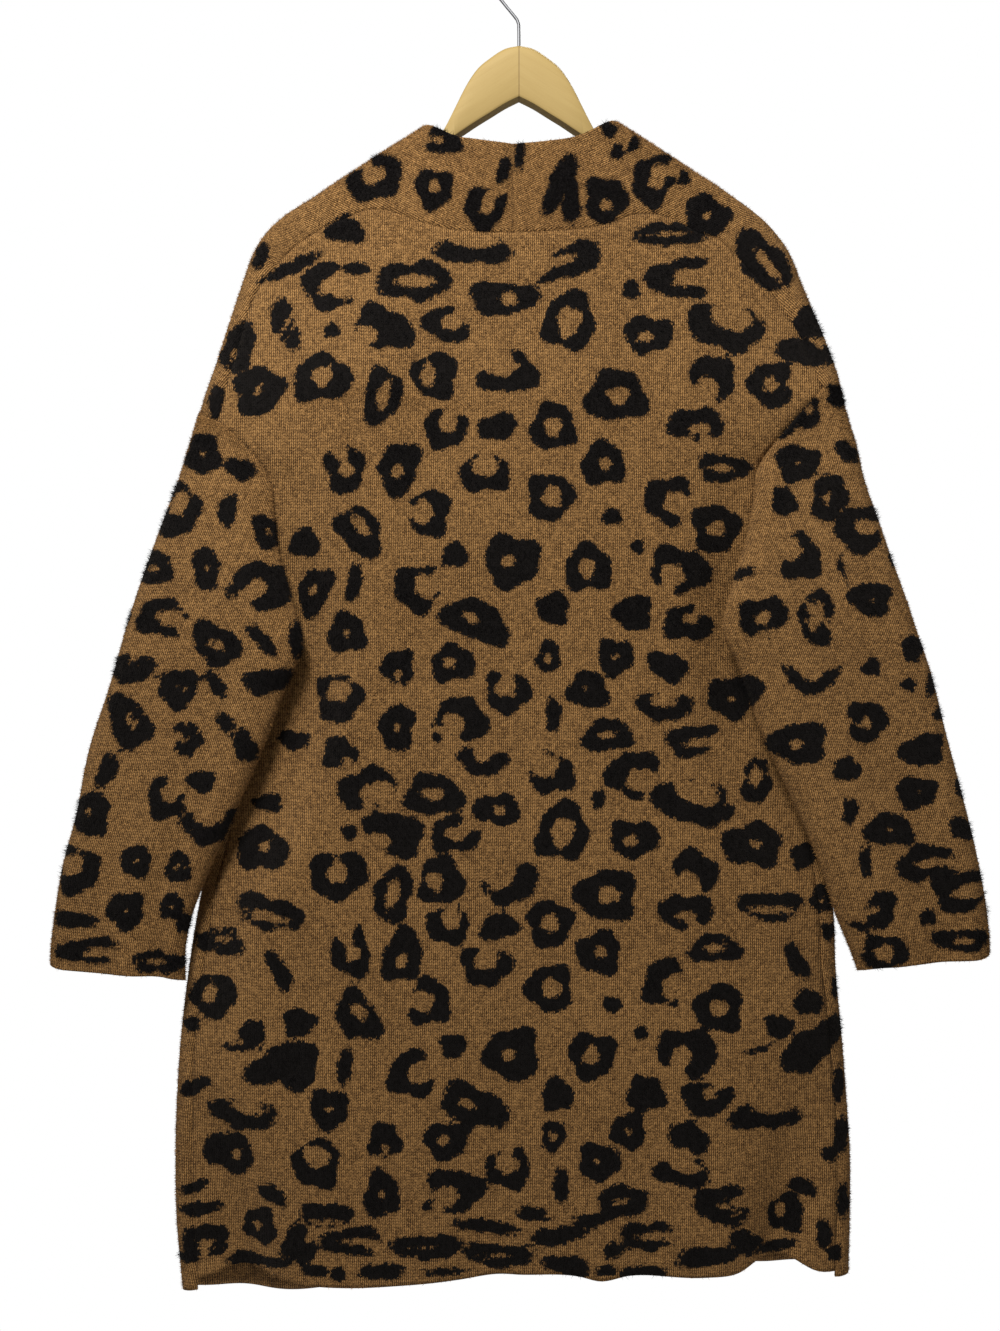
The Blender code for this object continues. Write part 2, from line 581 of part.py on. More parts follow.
def sewn_pieces(front_columns, sleeve_columns):
    """The five pieces' grids of points, with their sewn edges a little apart."""
    back = back_points()
    grids = {"back": back}
    for name, side in SIDES.items():
        front = front_points(side, front_columns)
        sleeve = sleeve_points(side, sleeve_columns, front)
        grids["front_" + name], grids["sleeve_" + name] = front, sleeve
        edge, inner = (back[:, -1], back[:, -2]) if name == "left" else (back[:, 0], back[:, 1])
        top, under = (back[0, ::-1], back[1, ::-1]) if name == "left" else (back[0], back[1])
        sides, arms = len(side_seam(side)[0]), len(side.armhole["drop"])
        last = len(side.shoulder_seam["out"]) - CORNER
        arm_last = CORNER + arms - 1
        over = sides + arms - 1
        seam, next_in = front[:, -1], front[:, -2]
        corner = over + 2 + CORNER
        parts = [
            (top[:last], under[:last], seam[corner:], next_in[corner:]),
            (edge[1:CORNER], inner[1:CORNER],
             seam[corner - 1 : corner - CORNER : -1], next_in[corner - 1 : corner - CORNER : -1]),
            (edge[arm_last + 1 :], inner[arm_last + 1 :], seam[sides - 1 :: -1], next_in[sides - 1 :: -1]),
            (edge[CORNER : arm_last + 1], inner[CORNER : arm_last + 1], sleeve[:arms, 0], sleeve[:arms, 1]),
            (seam[over : sides - 1 : -1], next_in[over : sides - 1 : -1],
             sleeve[:arms, -1], sleeve[:arms, -2]),
            (sleeve[arms:, 0], sleeve[arms:, 1], sleeve[arms:, -1], sleeve[arms:, -2]),
        ]
        for part in parts:
            part_edges(*part)
        sleeve[0] += inward(sleeve[0], sleeve[1]) * TOP_GAP * MM
    left, right = grids["front_left"], grids["front_right"]
    part_edges(left[-1], left[-2], right[-1], right[-2])
    return grids


def finish(name, colour, roughness, metallic=0.0):
    material = bpy.data.materials.new(name)
    material.use_nodes = True
    shader = material.node_tree.nodes["Principled BSDF"]
    shader.inputs["Base Color"].default_value = (*colour, 1)
    shader.inputs["Roughness"].default_value = roughness
    shader.inputs["Metallic"].default_value = metallic
    return material


def add(name, data, material):
    piece = bpy.data.objects.new(name, data)
    bpy.context.scene.collection.objects.link(piece)
    data.materials.append(material)
    return piece


def grid_bmesh(points):
    """A mesh grid whose corners are the given rows and columns of points."""
    rows, columns = points.shape[:2]
    bm = bmesh.new()
    bmesh.ops.create_grid(bm, x_segments=columns - 1, y_segments=rows - 1, size=0.5)
    for vert in bm.verts:
        column = round((vert.co.x + 0.5) * (columns - 1))
        vert.co = points[round((vert.co.y + 0.5) * (rows - 1)), column]
    return bm


def mesh_of(name, bm):
    mesh = bpy.data.meshes.new(name)
    bm.to_mesh(mesh)
    bm.free()
    mesh.shade_smooth()
    return mesh


def cloth(name, points, material):
    """A knitted panel: its grid of points, given a wall."""
    piece = add(name, mesh_of(name, grid_bmesh(points)), material)
    wall = piece.modifiers.new("wall", "SOLIDIFY")
    wall.thickness = WALL * MM
    wall.offset = 0
    wall.use_even_offset = True
    return piece


# The wooden hanger: its upper and lower edges and how thick it is, out from the centre.
HANGER = table(
    "out top bottom half_thick",
    [(0, 76, 122, 10), (12, 78.5, 128, 10), (25, 86.5, 136, 10), (38, 98, 144, 10),
     (47, 112, 150, 10), (56, 130, 156, 9.5), (67, 151, 165, 8), (80, 167, 178, 6.5),
     (108, 182, 195, 7.5), (150, 206, 220, 7), (190, 232, 244, 6.5), (206, 246, 253, 5)],
)
# Half of one cross-section, from the top round to the underside.
HANGER_SECTION = table(
    "wide tall", [(0, 1), (0.55, 0.97), (0.9, 0.85), (1, 0.6), (1, -0.9), (0.92, -1), (0, -1)]
)


def hanger_ring(out):
    """One upright cross-section of the hanger, with a flat underside."""
    reach = abs(out)
    top, bottom = smooth(HANGER, "top", reach, "out"), smooth(HANGER, "bottom", reach, "out")
    thick = smooth(HANGER, "half_thick", reach, "out")
    wide = np.append(HANGER_SECTION["wide"], -HANGER_SECTION["wide"][-2:0:-1])
    tall = np.append(HANGER_SECTION["tall"], HANGER_SECTION["tall"][-2:0:-1])
    bend = -HANGER_BEND * (reach / HANGER_SPAN) ** 2
    x = np.full(len(wide), out)
    return np.stack([x, bend + thick * wide, -(top + bottom) / 2 + (bottom - top) / 2 * tall], -1)


def hanger():
    outs = np.concatenate([-HANGER["out"][:0:-1], HANGER["out"]])
    rings = np.array([hanger_ring(out) for out in outs]) * MM
    bm = grid_bmesh(np.concatenate([rings, rings[:, :1]], axis=1))
    bmesh.ops.remove_doubles(bm, verts=bm.verts, dist=1e-6)
    bmesh.ops.holes_fill(bm, edges=bm.edges, sides=0)
    bmesh.ops.recalc_face_normals(bm, faces=bm.faces)
    return add("hanger", mesh_of("hanger", bm), finish("pale_wood", (0.58, 0.41, 0.18), 0.45))


WIRE = 1.4
HOOK_RADIUS = 21.4
STEM = [(0, 75.5), (0, 66), (0.2, 56), (4.5, 48.5), (10.5, 41)]
HOOK_START = math.radians(-45)
HOOK_END = math.radians(200)
HOOK_STEPS = 22


def hook():
    """A wire hook: a straight stem that sweeps to the left and over the rail."""
    points = list(STEM)
    for step in range(HOOK_STEPS + 1):
        turn = HOOK_START + (HOOK_END - HOOK_START) * step / HOOK_STEPS
        height = HOOK_RADIUS * math.sin(turn)
        points.append((HOOK_RADIUS * math.cos(turn), HOOK_RADIUS - WIRE - height))
    curve = bpy.data.curves.new("hook", "CURVE")
    curve.dimensions = "3D"
    curve.bevel_depth = WIRE * MM
    curve.bevel_resolution = 2
    curve.use_fill_caps = True
    wire = curve.splines.new("POLY")
    wire.points.add(len(points) - 1)
    for point, (out, drop) in zip(wire.points, points):
        point.co = (out * MM, 0, -drop * MM, 1)
    return add("hook", curve, finish("hook_steel", (0.42, 0.42, 0.43), 0.3, 1.0))


for old in list(bpy.data.objects):
    bpy.data.objects.remove(old)

FRONT_COLUMNS = 16
SLEEVE_COLUMNS = 11
COLOURS = {"back": (0.26, 0.13, 0.045), "front": (0.24, 0.12, 0.04), "sleeve": (0.28, 0.14, 0.05)}
for piece_name, grid in sewn_pieces(FRONT_COLUMNS, SLEEVE_COLUMNS).items():
    colour = COLOURS[piece_name.split("_")[0]]
    cloth(piece_name, grid, finish(piece_name + "_knit", colour, 0.95))
hanger()
hook()
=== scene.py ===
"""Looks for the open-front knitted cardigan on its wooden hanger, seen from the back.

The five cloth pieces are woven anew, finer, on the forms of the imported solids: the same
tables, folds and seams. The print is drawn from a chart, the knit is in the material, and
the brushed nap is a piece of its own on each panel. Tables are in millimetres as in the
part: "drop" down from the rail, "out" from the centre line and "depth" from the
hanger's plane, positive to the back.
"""

import math

import bmesh
import bpy
import numpy as np
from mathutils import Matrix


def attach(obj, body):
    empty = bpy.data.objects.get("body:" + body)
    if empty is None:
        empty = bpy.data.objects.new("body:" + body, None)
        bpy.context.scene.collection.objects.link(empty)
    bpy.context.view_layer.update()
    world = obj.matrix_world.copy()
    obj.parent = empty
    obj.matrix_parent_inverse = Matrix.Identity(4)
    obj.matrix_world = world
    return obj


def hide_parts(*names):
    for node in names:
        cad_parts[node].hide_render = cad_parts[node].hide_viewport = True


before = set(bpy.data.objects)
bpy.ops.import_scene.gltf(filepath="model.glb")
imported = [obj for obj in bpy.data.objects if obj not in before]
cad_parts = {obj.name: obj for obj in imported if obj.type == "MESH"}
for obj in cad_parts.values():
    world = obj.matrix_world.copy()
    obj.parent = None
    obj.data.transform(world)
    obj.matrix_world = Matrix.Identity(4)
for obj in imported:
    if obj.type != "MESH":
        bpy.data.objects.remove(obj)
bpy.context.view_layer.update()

MM = 0.001
# The knit's thickness, and how far a sewn edge laps over the next one and dips.
WALL = 2.4
SEAM_LAP = 0.3
SEAM_DIP = 1.3

# The collar's centre-back seam, out from the centre line.
CENTRE_BACK = 5.5
# A fold's round part in plane and along the cloth, how slowly the two come level past it,
# and half a sleeve's thickness.
FOLD_REACH = 14.0
FOLD_ARC = 22.0
FOLD_FADE = 40.0
FOLD_THICK = 14.0
# Half the width of a sleeve's inner roll and of its outer fold, the angle left between its
# edges at the underarm, and how far the back tucks in under the roll.
ROLL_REACH = 25.0
OUTER_REACH = 14.7
UNDERARM_GAP_TURN = math.radians(2.0)
UNDER_ROLL = 3.7

# How far the hanger's arms bend away, and how far out they are when they do.
HANGER_BEND = 12.0
HANGER_SPAN = 220.0


def table(columns, rows):
    """Named columns of numbers, one row for each height or station."""
    return dict(zip(columns.split(), np.array(rows, float).T))


# The silhouette of shoulder and upper arm, which the fronts fold over.
SHOULDER_LINE = {
    "left": table(
        "out drop",
        [(0, 95), (70, 139), (140, 182.5), (185, 211), (205, 223.5), (221, 237), (231, 252),
         (239, 272.5), (247, 296), (255, 321), (263, 347), (271, 372), (279, 398), (288, 427),
         (299, 460)],
    ),
    "right": table(
        "out drop",
        [(0, 90), (70, 133.5), (140, 177.5), (181, 203), (205, 218), (221, 231), (233, 247.5),
         (242, 268), (253, 295.5), (264, 321), (273, 346.5), (281, 371), (286, 392), (293, 425),
         (302, 460)],
    ),
}
SLEEVE = {
    "left": table(
        "drop outer inner depth",
        [(390, 276, 264, 0), (425, 287, 245, 5), (460, 297, 217, 11), (494, 309, 214, 15),
         (529, 321, 205, 19), (572, 335, 196, 22), (603, 344, 189, 23), (638, 354, 203, 23),
         (693, 372, 224, 22), (752, 384, 251, 21), (797, 396, 272, 20), (839, 403, 288, 19),
         (861, 406, 292, 18), (890, 407, 292, 18)],
    ),
    "right": table(
        "drop outer inner depth",
        [(375, 280, 268, 0), (398, 286, 258, 3), (426, 294, 228, 6), (460, 301, 210, 11),
         (494, 312, 202, 15), (523, 321, 193, 19), (564, 335, 182, 22), (589, 343, 178, 23),
         (621, 354, 191, 23), (683, 370, 213, 22), (739, 385, 240, 21), (793, 398, 264, 20),
         (832, 405, 277, 19), (860, 408, 289, 18), (882, 408, 297, 18)],
    ),
}
ARMHOLE = {
    "left": table(
        "drop seam back_turn front_turn",
        [(407, 264, 92, 90), (418, 251, 105, 92), (437, 232, 132, 94), (460, 218, 172, 96),
         (485, 215, 186, 97), (515, 214, 203, 98), (545, 212, 228, 99), (572, 211, 246, 100)],
    ),
    "right": table(
        "drop seam back_turn front_turn",
        [(378, 266, 92, 90), (396, 250, 105, 92), (420, 229, 132, 94), (445, 211, 172, 96),
         (475, 206, 186, 97), (505, 202, 203, 98), (535, 199, 228, 99), (564, 197, 246, 100)],
    ),
}
SIDE_FOLD = {
    "left": table(
        "drop out seam_in",
        [(572, 217, 6), (600, 226, 8), (640, 238, 10), (685, 250, 12), (735, 262, 13),
         (790, 274, 13), (845, 284, 13), (900, 292, 13), (957, 298, 13), (1010, 301, 15),
         (1060, 302, 15), (1110, 301, 16), (1156, 297, 15), (1180, 295, 15)],
    ),
    "right": table(
        "drop out seam_in",
        [(564, 203, 6), (592, 219, 8), (632, 238, 10), (677, 250, 12), (727, 262, 13),
         (782, 271, 13), (837, 277, 13), (892, 279, 13), (949, 284, 12), (1004, 288, 11),
         (1054, 291, 12), (1104, 291, 13), (1150, 290, 13), (1180, 289, 13)],
    ),
}
SHOULDER_SEAM = {
    "left": table(
        "out drop",
        [(264, 407), (252, 362), (241, 322), (229, 291), (211, 268), (198, 254), (172, 237),
         (150, 228), (134, 222), (114, 223), (99, 229), (82, 235), (58, 241), (31, 243),
         (CENTRE_BACK, 243.5)],
    ),
    "right": table(
        "out drop",
        [(266, 378), (253, 346), (239, 319), (225, 299), (205, 277), (180, 250), (159, 242),
         (141, 233), (126, 227), (105, 226), (86, 232), (68, 238), (45, 241), (20, 242.5),
         (-CENTRE_BACK, 243.5)],
    ),
}
# Where each row of a front above the armhole starts: on the front edge (layer -1), on
# the shoulder line (0) or on the collar's top edge at the back (1).
FRONT_EDGE = {
    "left": table(
        "out drop layer",
        [(31, 385, -1), (34, 358, -1), (37, 334, -1), (41, 312, -1), (45, 292, -1),
         (49, 274, -1), (53, 258, -1), (57, 242, -1), (61, 226, -1), (66, 206, -1),
         (73, 178, -1), (81, 151, 0), (60, 157, 1), (34, 163, 1), (CENTRE_BACK, 167, 1)],
    ),
    "right": table(
        "out drop layer",
        [(29, 372, -1), (32, 346, -1), (36, 323, -1), (40, 302, -1), (44, 283, -1),
         (49, 266, -1), (53, 250, -1), (58, 234, -1), (63, 218, -1), (69, 198, -1),
         (77, 172, -1), (84, 147, 0), (56, 157, 1), (27, 164, 1), (-CENTRE_BACK, 167, 1)],
    ),
}
BACK_HEM = {
    "left": table(
        "out drop",
        [(0, 1150), (17, 1149.5), (50, 1153), (98, 1157), (145, 1159), (185, 1157), (212, 1153),
         (237, 1146), (253, 1148), (269, 1155), (283, 1158)],
    ),
    "right": table(
        "out drop",
        [(0, 1150), (53, 1150), (70, 1154), (95, 1150), (162, 1150), (189, 1149), (219, 1138),
         (236, 1139), (261, 1150), (283, 1151)],
    ),
}
# Each front's hem: its drop at the front edge and at the side seam, and its sag between.
FRONT_HEM = {
    "left": {"edge": 1160, "seam": 1168, "sag": 15},
    "right": {"edge": 1150, "seam": 1156, "sag": 0},
}
EDGE_OUT = {
    "left": table("drop out", [(385, 31), (450, 27), (600, 24), (800, 26), (1000, 30), (1181, 34)]),
    "right": table("drop out", [(372, 29), (450, 25), (600, 22), (800, 23), (1000, 26), (1181, 29)]),
}

# Depth of each layer on the centre line and near the edge, and where it turns from the
# one to the other.
BACK_DEPTH = table(
    "drop centre edge turn_in turn_out",
    [(90, 17, 13, 10, 90), (150, 20, 12, 10, 100), (243, 20, 3, 40, 215), (320, 21, 7, 90, 245),
     (407, 22, 16, 130, 255), (460, 22, 15, 150, 205), (515, 22, 9, 145, 198),
     (572, 22, 5.5, 135, 190), (640, 22, 3, 135, 185), (735, 22, 3, 160, 215),
     (845, 22, 4, 215, 270), (900, 22, 6, 225, 285), (960, 22, 8, 230, 290),
     (1180, 24, 8, 230, 290)],
)
FRONT_DEPTH = table(
    "drop centre edge turn_in turn_out",
    [(90, -15, -14, 10, 90), (150, -17, -16, 10, 100), (243, -20, -26, 40, 215),
     (320, -22, -23, 90, 245), (407, -24, -15, 130, 255), (460, -25, -16, 130, 205),
     (515, -26, -18, 130, 198), (572, -27, -20, 130, 190), (640, -28, -22, 135, 200),
     (735, -29, -22, 160, 215), (845, -30, -22, 215, 270), (960, -31, -21, 230, 290),
     (1180, -33, -21, 230, 290)],
)
SHOULDER_DEPTH = table(
    "drop depth",
    [(90, 1), (150, 0), (200, -4), (240, -6), (280, -5), (330, -3), (397, 2), (460, 10)],
)
SIDE_DEPTH = table("drop depth", [(560, -3), (640, -9), (850, -8), (1000, -5), (1180, -6)])

# Soft vertical folds: where one starts and ends down the cloth, how far to the left of
# the centre line it lies there, half its width and how deep it goes. A fold goes on below
# its end, so the back's last four rows are a groove beside each sleeve and its fading out.
BACK_FOLDS = table(
    "top bottom from_centre to_centre width deep",
    [(960, 1160, 262, 238, 27, -22), (900, 1160, 196, 178, 42, 4), (860, 1160, 92, 84, 46, 4),
     (930, 1160, 25, 20, 34, -4), (560, 1000, 120, 140, 40, 3), (900, 1160, -62, -66, 38, 4),
     (950, 1160, -108, -96, 26, -3), (880, 1160, -170, -156, 40, 4),
     (930, 1160, -250, -222, 27, -24), (560, 1000, -120, -135, 42, 3),
     (480, 850, 152, 282, 12, -8), (750, 850, 230, 282, 12, 8),
     (480, 850, -140, -274, 12, -8), (750, 850, -222, -274, 12, 8)],
)
FRONT_FOLDS = table(
    "top bottom from_centre to_centre width deep",
    [(420, 1180, 118, 92, 34, 7), (560, 1180, 168, 150, 30, -6), (760, 1180, 214, 205, 28, 6),
     (900, 1180, 262, 250, 24, -7), (300, 900, 66, 60, 26, -5), (440, 1180, -112, -100, 36, 7),
     (600, 1180, -160, -158, 28, -6), (780, 1180, -208, -214, 30, 6),
     (880, 1180, -256, -256, 22, -7), (320, 940, -64, -52, 26, -4)],
)
SLEEVE_FOLDS = table(
    "side face top bottom across_top across_bottom width deep",
    [(1, 1, 700, 886, 0.30, 0.20, 0.13, -8), (1, 1, 600, 780, 0.62, 0.44, 0.12, 3),
     (1, 1, 740, 886, 0.06, 0.34, 0.09, 3), (-1, 1, 580, 860, 0.58, 0.62, 0.12, -5),
     (-1, 1, 640, 878, 0.30, 0.28, 0.12, 4), (-1, 1, 600, 878, 0.84, 0.86, 0.10, 3),
     (1, -1, 600, 886, 0.55, 0.48, 0.14, 4), (-1, -1, 600, 878, 0.52, 0.50, 0.14, 4)],
)
# A sleeve's rows below the armhole, how far its top rises towards the outer fold, how far
# the cuff tilts, and how much lower the armhole runs at the front.
SLEEVE_ROWS = {
    "left": (592, 618, 652, 692, 737, 782, 826, 860, 888),
    "right": (584, 610, 644, 684, 729, 774, 818, 852, 879),
}
SLEEVE_TOP_RISE = {"left": 10, "right": -3}
CUFF_TILT = 8.0
FRONT_LOWER = 10.0

SIDE_SIGN = {"left": 1, "right": -1}


def ramp(t):
    """0 to 1 with level ends."""
    t = np.clip(t, 0, 1)
    return t * t * (3 - 2 * t)


def smooth(rows, column, at, along="drop"):
    """A smooth curve through one column of a table, held level past its ends."""
    x, y = rows[along], rows[column]
    slope = np.gradient(y, x)
    at = np.clip(at, x[0], x[-1])
    k = np.clip(np.searchsorted(x, at) - 1, 0, len(x) - 2)
    step = x[k + 1] - x[k]
    t = (at - x[k]) / step
    start = (1 + 2 * t) * (1 - t) ** 2 * y[k] + t * (1 - t) ** 2 * step * slope[k]
    end = t * t * (3 - 2 * t) * y[k + 1] - t * t * (1 - t) * step * slope[k + 1]
    return start + end


def stations(rows, column, at):
    """A smooth curve through one column, read by row number."""
    numbered = {"row": np.arange(len(rows[column]), dtype=float), column: rows[column]}
    return smooth(numbered, column, at, along="row")


def folds(rows, x, drop):
    """How far a layer's soft folds move it at each place."""
    moved = np.zeros(np.shape(x))
    for top, bottom, start, end, width, deep in zip(*rows.values()):
        t = np.clip((drop - top) / (bottom - top), 0, 1)
        line = start + t * (end - start)
        moved = moved + ramp(t) * deep * np.exp(-(((x - line) / width) ** 2))
    return moved


def layer_depth(rows, fold_rows, x, drop):
    """Depth of the back or front layer before its edges turn."""
    centre, edge = smooth(rows, "centre", drop), smooth(rows, "edge", drop)
    start, end = smooth(rows, "turn_in", drop), smooth(rows, "turn_out", drop)
    sideways = ramp((np.abs(x) - start) / (end - start))
    return centre + (edge - centre) * sideways + folds(fold_rows, x, drop)


def fold_inset(arc):
    """In-plane distance from a fold for a distance measured round it along the cloth."""
    arc = np.abs(arc)
    round_part = FOLD_REACH * (1 - np.cos(np.pi / 2 * np.minimum(arc / FOLD_ARC, 1)))
    flat_part = arc + (FOLD_REACH - FOLD_ARC) * np.exp(-(arc - FOLD_ARC) / FOLD_FADE)
    return np.where(arc < FOLD_ARC, round_part, flat_part)


def fold_arc(inset):
    """The inverse of fold_inset."""
    arcs = np.linspace(0, 400, 1601)
    return np.interp(inset, fold_inset(arcs), arcs)


def cap(inset):
    """How far a layer has opened from its fold: 0 on the fold, 1 past the round part."""
    return np.sqrt(np.clip(1 - (1 - np.minimum(inset / FOLD_REACH, 1)) ** 2, 0, 1))


class Side:
    """One half of the garment, worked out from its tables. "out" is positive here."""

    def __init__(self, name):
        self.name = name
        self.sign = SIDE_SIGN[name]
        self.sleeve, self.armhole = SLEEVE[name], ARMHOLE[name]
        self.side_fold, self.shoulder_seam = SIDE_FOLD[name], SHOULDER_SEAM[name]
        self.top_of_arm = self.armhole["drop"][0]
        self.underarm = self.armhole["drop"][-1]
        self.mid_arm = (self.top_of_arm + self.underarm) / 2
        line = SHOULDER_LINE[name]
        rows = np.linspace(0, len(line["out"]) - 1, 400)
        self.line = np.stack([stations(line, "out", rows), stations(line, "drop", rows)], -1)
        along = np.gradient(self.line, axis=0)
        self.along = along / np.linalg.norm(along, axis=1, keepdims=True)
        self.outward = np.stack([self.along[:, 1], -self.along[:, 0]], -1)

    def nearest(self, out, drop):
        """Foot on the shoulder line, its outward direction, and the signed distance."""
        at = np.stack([np.ravel(out), np.ravel(drop)], -1)
        gap = at[:, None, :] - self.line[None, :, :]
        k = (gap**2).sum(-1).argmin(1)
        gap = at - self.line[k]
        foot = self.line[k] + self.along[k] * (gap * self.along[k]).sum(-1, keepdims=True)
        distance = (gap * self.outward[k]).sum(-1)
        shape = np.shape(out)
        return foot.reshape(shape + (2,)), self.outward[k].reshape(shape + (2,)), distance.reshape(shape)

    def over_shoulder(self, down):
        """1 where a flat front folds over the shoulder line, 0 further down."""
        return ramp((self.top_of_arm + 75 - down) / 50)

    def arm_top(self, drop):
        """1 at the top of the arm, 0 further down the armhole."""
        return ramp((self.top_of_arm + 60 - drop) / 60)

    def below_arm(self, drop):
        """0 above the underarm, 1 below it, where the side fold runs."""
        return ramp((drop - self.underarm + 4) / 12)

    def turn(self, drop, face):
        """Angle round a sleeve's inner fold at which its armhole or underarm edge lies."""
        if face > 0:
            past = ramp((drop - self.underarm) / 300)
            return np.radians(smooth(self.armhole, "back_turn", drop) - 40 * past)
        open_turn = np.radians(smooth(self.armhole, "front_turn", drop))
        closed_turn = 2 * np.pi - self.turn(drop, 1) - UNDERARM_GAP_TURN
        return open_turn + (closed_turn - open_turn) * ramp((drop - self.underarm) / 22)

    def roll_reach(self, drop):
        return ROLL_REACH - 9 * ramp((drop - self.underarm - 40) / 260)

    def inner_fold(self, drop):
        """Centre of the sleeve's inner fold, out from the centre line."""
        from_seam = smooth(self.armhole, "seam", drop) - ROLL_REACH * np.cos(self.turn(drop, 1))
        from_edge = smooth(self.sleeve, "inner", drop) + self.roll_reach(drop)
        return np.where(drop < self.underarm, from_seam, from_edge)

    def seam_out(self, drop, face):
        """How far out the armhole seam lies at the back (face 1) or the front (-1)."""
        return self.inner_fold(drop) + ROLL_REACH * np.cos(self.turn(drop, face))

    def seam_depth(self, drop, face):
        """Depth of the armhole seam at the back (face 1) or the front (-1)."""
        swell = np.sin(self.turn(drop, face))
        return smooth(self.sleeve, "depth", drop) + face * FOLD_THICK * swell

    def layer(self, out, drop, face):
        """Depth of the back (face 1) or front (-1) layer of body, shoulder and collar."""
        rows, fold_rows = (BACK_DEPTH, BACK_FOLDS) if face > 0 else (FRONT_DEPTH, FRONT_FOLDS)
        depth = layer_depth(rows, fold_rows, self.sign * out, drop)
        # both layers run to the armhole seam, in a valley beside the sleeve
        seam_drop = np.clip(drop, self.top_of_arm, self.underarm)
        span = (drop - self.top_of_arm) / (self.underarm - self.top_of_arm)
        seam_out = self.seam_out(seam_drop, face)
        unlifted = layer_depth(rows, fold_rows, self.sign * seam_out, seam_drop)
        lift = self.seam_depth(seam_drop, face) - unlifted
        if face > 0:
            lift = lift - UNDER_ROLL * ramp((span - 0.3) / 0.6)
        width = 34 - (12 if face > 0 else 25) * np.clip(span, 0, 1)
        near = np.exp(-((np.maximum(seam_out - out, 0) / width) ** 2))
        return depth + lift * near * ramp(1 + span / 0.12) * ramp((1.14 - span) / 0.14)

    def edge_depth(self, depth, out, drop):
        """The layer's depth with its edge turned in to the shoulder or side fold."""
        _, _, distance = self.nearest(out, drop)
        open_by = cap(np.maximum(-distance, 0))
        upper = smooth(SHOULDER_DEPTH, "depth", drop)
        near_top = ramp((self.top_of_arm + 60 - drop) / 40)
        depth = depth + (upper + (depth - upper) * open_by - depth) * near_top
        inset = np.maximum(smooth(self.side_fold, "out", drop) - out, 0)
        lower = smooth(SIDE_DEPTH, "depth", drop)
        below = self.below_arm(drop)
        return depth + (lower + (depth - lower) * cap(inset) - depth) * below

    def back(self, out, drop):
        return self.edge_depth(self.layer(out, drop, 1), out, drop)

    def front(self, out, drop):
        return self.edge_depth(self.layer(out, drop, -1), out, drop)

    def unfold(self, out, drop, layer):
        """Where a point of the finished shape lies in the flat cut piece."""
        foot, outward, distance = self.nearest(out, drop)
        flat = foot + outward * (layer * fold_arc(np.maximum(-distance, 0)))[..., None]
        return flat[..., 0], flat[..., 1]

    def fold_up(self, across, down):
        """The finished shape's point for a point of a front's flat cut piece."""
        foot, outward, distance = self.nearest(across, down)
        folded = foot - outward * fold_inset(distance)[..., None]
        top_part = self.over_shoulder(down)
        side = smooth(self.side_fold, "out", down)
        turned = side - fold_inset(across - side)
        side_part = self.below_arm(down)
        out = across + (folded[..., 0] - across) * top_part + (turned - across) * side_part
        drop = down + (folded[..., 1] - down) * top_part
        behind = np.where(down < self.mid_arm, distance > 0, across > side)
        depth = np.where(behind, self.back(out, drop), self.front(out, drop))
        return np.stack([out, depth, drop], -1)


SIDES = {name: Side(name) for name in SIDE_SIGN}


def placed(side, points):
    """Millimetres out, depth and drop to metres in the part's own frame."""
    return np.stack([side.sign * points[..., 0], points[..., 1], -points[..., 2]], -1) * MM


def inward(edge, inner):
    """Unit steps from an edge's points to the next ones in."""
    step = inner - edge
    return step / np.maximum(np.linalg.norm(step, axis=-1, keepdims=True), 1e-9)


def sew(face, *edges_and_inner):
    """Draw two edges together in a shallow groove of the back (face 1) or front (-1)."""
    for edge, inner in zip(edges_and_inner[::2], edges_and_inner[1::2]):
        edge -= inward(edge, inner) * SEAM_LAP * MM
        edge[:, 1] -= face * SEAM_DIP * MM
        inner[:, 1] -= face * SEAM_DIP * 0.4 * MM


def hem_drop(out):
    left = smooth(BACK_HEM["left"], "drop", np.abs(out), along="out")
    right = smooth(BACK_HEM["right"], "drop", np.abs(out), along="out")
    return np.where(out > 0, left, right)


# The shoulder seam's station at the back's corner, and the fine steps between stations.
CORNER = 5
STEPS_SHORT = 8
STEPS_LONG = 12


def fine_rows(counts):
    """Row numbers with so many steps in each interval, and where each station falls."""
    rows = [k + np.arange(count) / count for k, count in enumerate(counts)]
    return np.append(np.concatenate(rows), len(counts)), np.concatenate([[0], np.cumsum(counts)])


def back_steps(side):
    upper, lower = CORNER + len(side.armhole["drop"]) - 1, len(side.side_fold["out"]) - 2
    return [STEPS_SHORT] * upper + [STEPS_LONG] * lower


def front_steps(side):
    over = len(side.armhole["drop"]) + len(side.shoulder_seam["out"])
    return [STEPS_LONG] * (len(side.side_fold["out"]) - 2) + [STEPS_SHORT] * over


def sleeve_steps(side):
    upper, lower = len(side.armhole["drop"]) - 1, len(SLEEVE_ROWS[side.name])
    return [STEPS_SHORT] * upper + [STEPS_LONG] * lower


def back_edge(side):
    """The back's edge down one side: shoulder corner, armhole, side seam and hem."""
    shoulder, arm, fold = side.shoulder_seam, side.armhole, side.side_fold
    out = np.concatenate(
        [shoulder["out"][CORNER:0:-1], arm["seam"], (fold["out"] - fold["seam_in"])[1:-1]]
    )
    drop = np.concatenate([shoulder["drop"][CORNER:0:-1], arm["drop"], fold["drop"][1:-1]])
    drop[-1] = hem_drop(side.sign * out[-1])
    return {"out": out, "drop": drop}


def fine_edge(side):
    """The back's edge in fine steps, and how far down the piece each step is, 0 to 1."""
    edge, (row, _) = back_edge(side), fine_rows(back_steps(side))
    out, drop = stations(edge, "out", row), stations(edge, "drop", row)
    return out, drop, (drop - drop[0]) / (drop[-1] - drop[0])


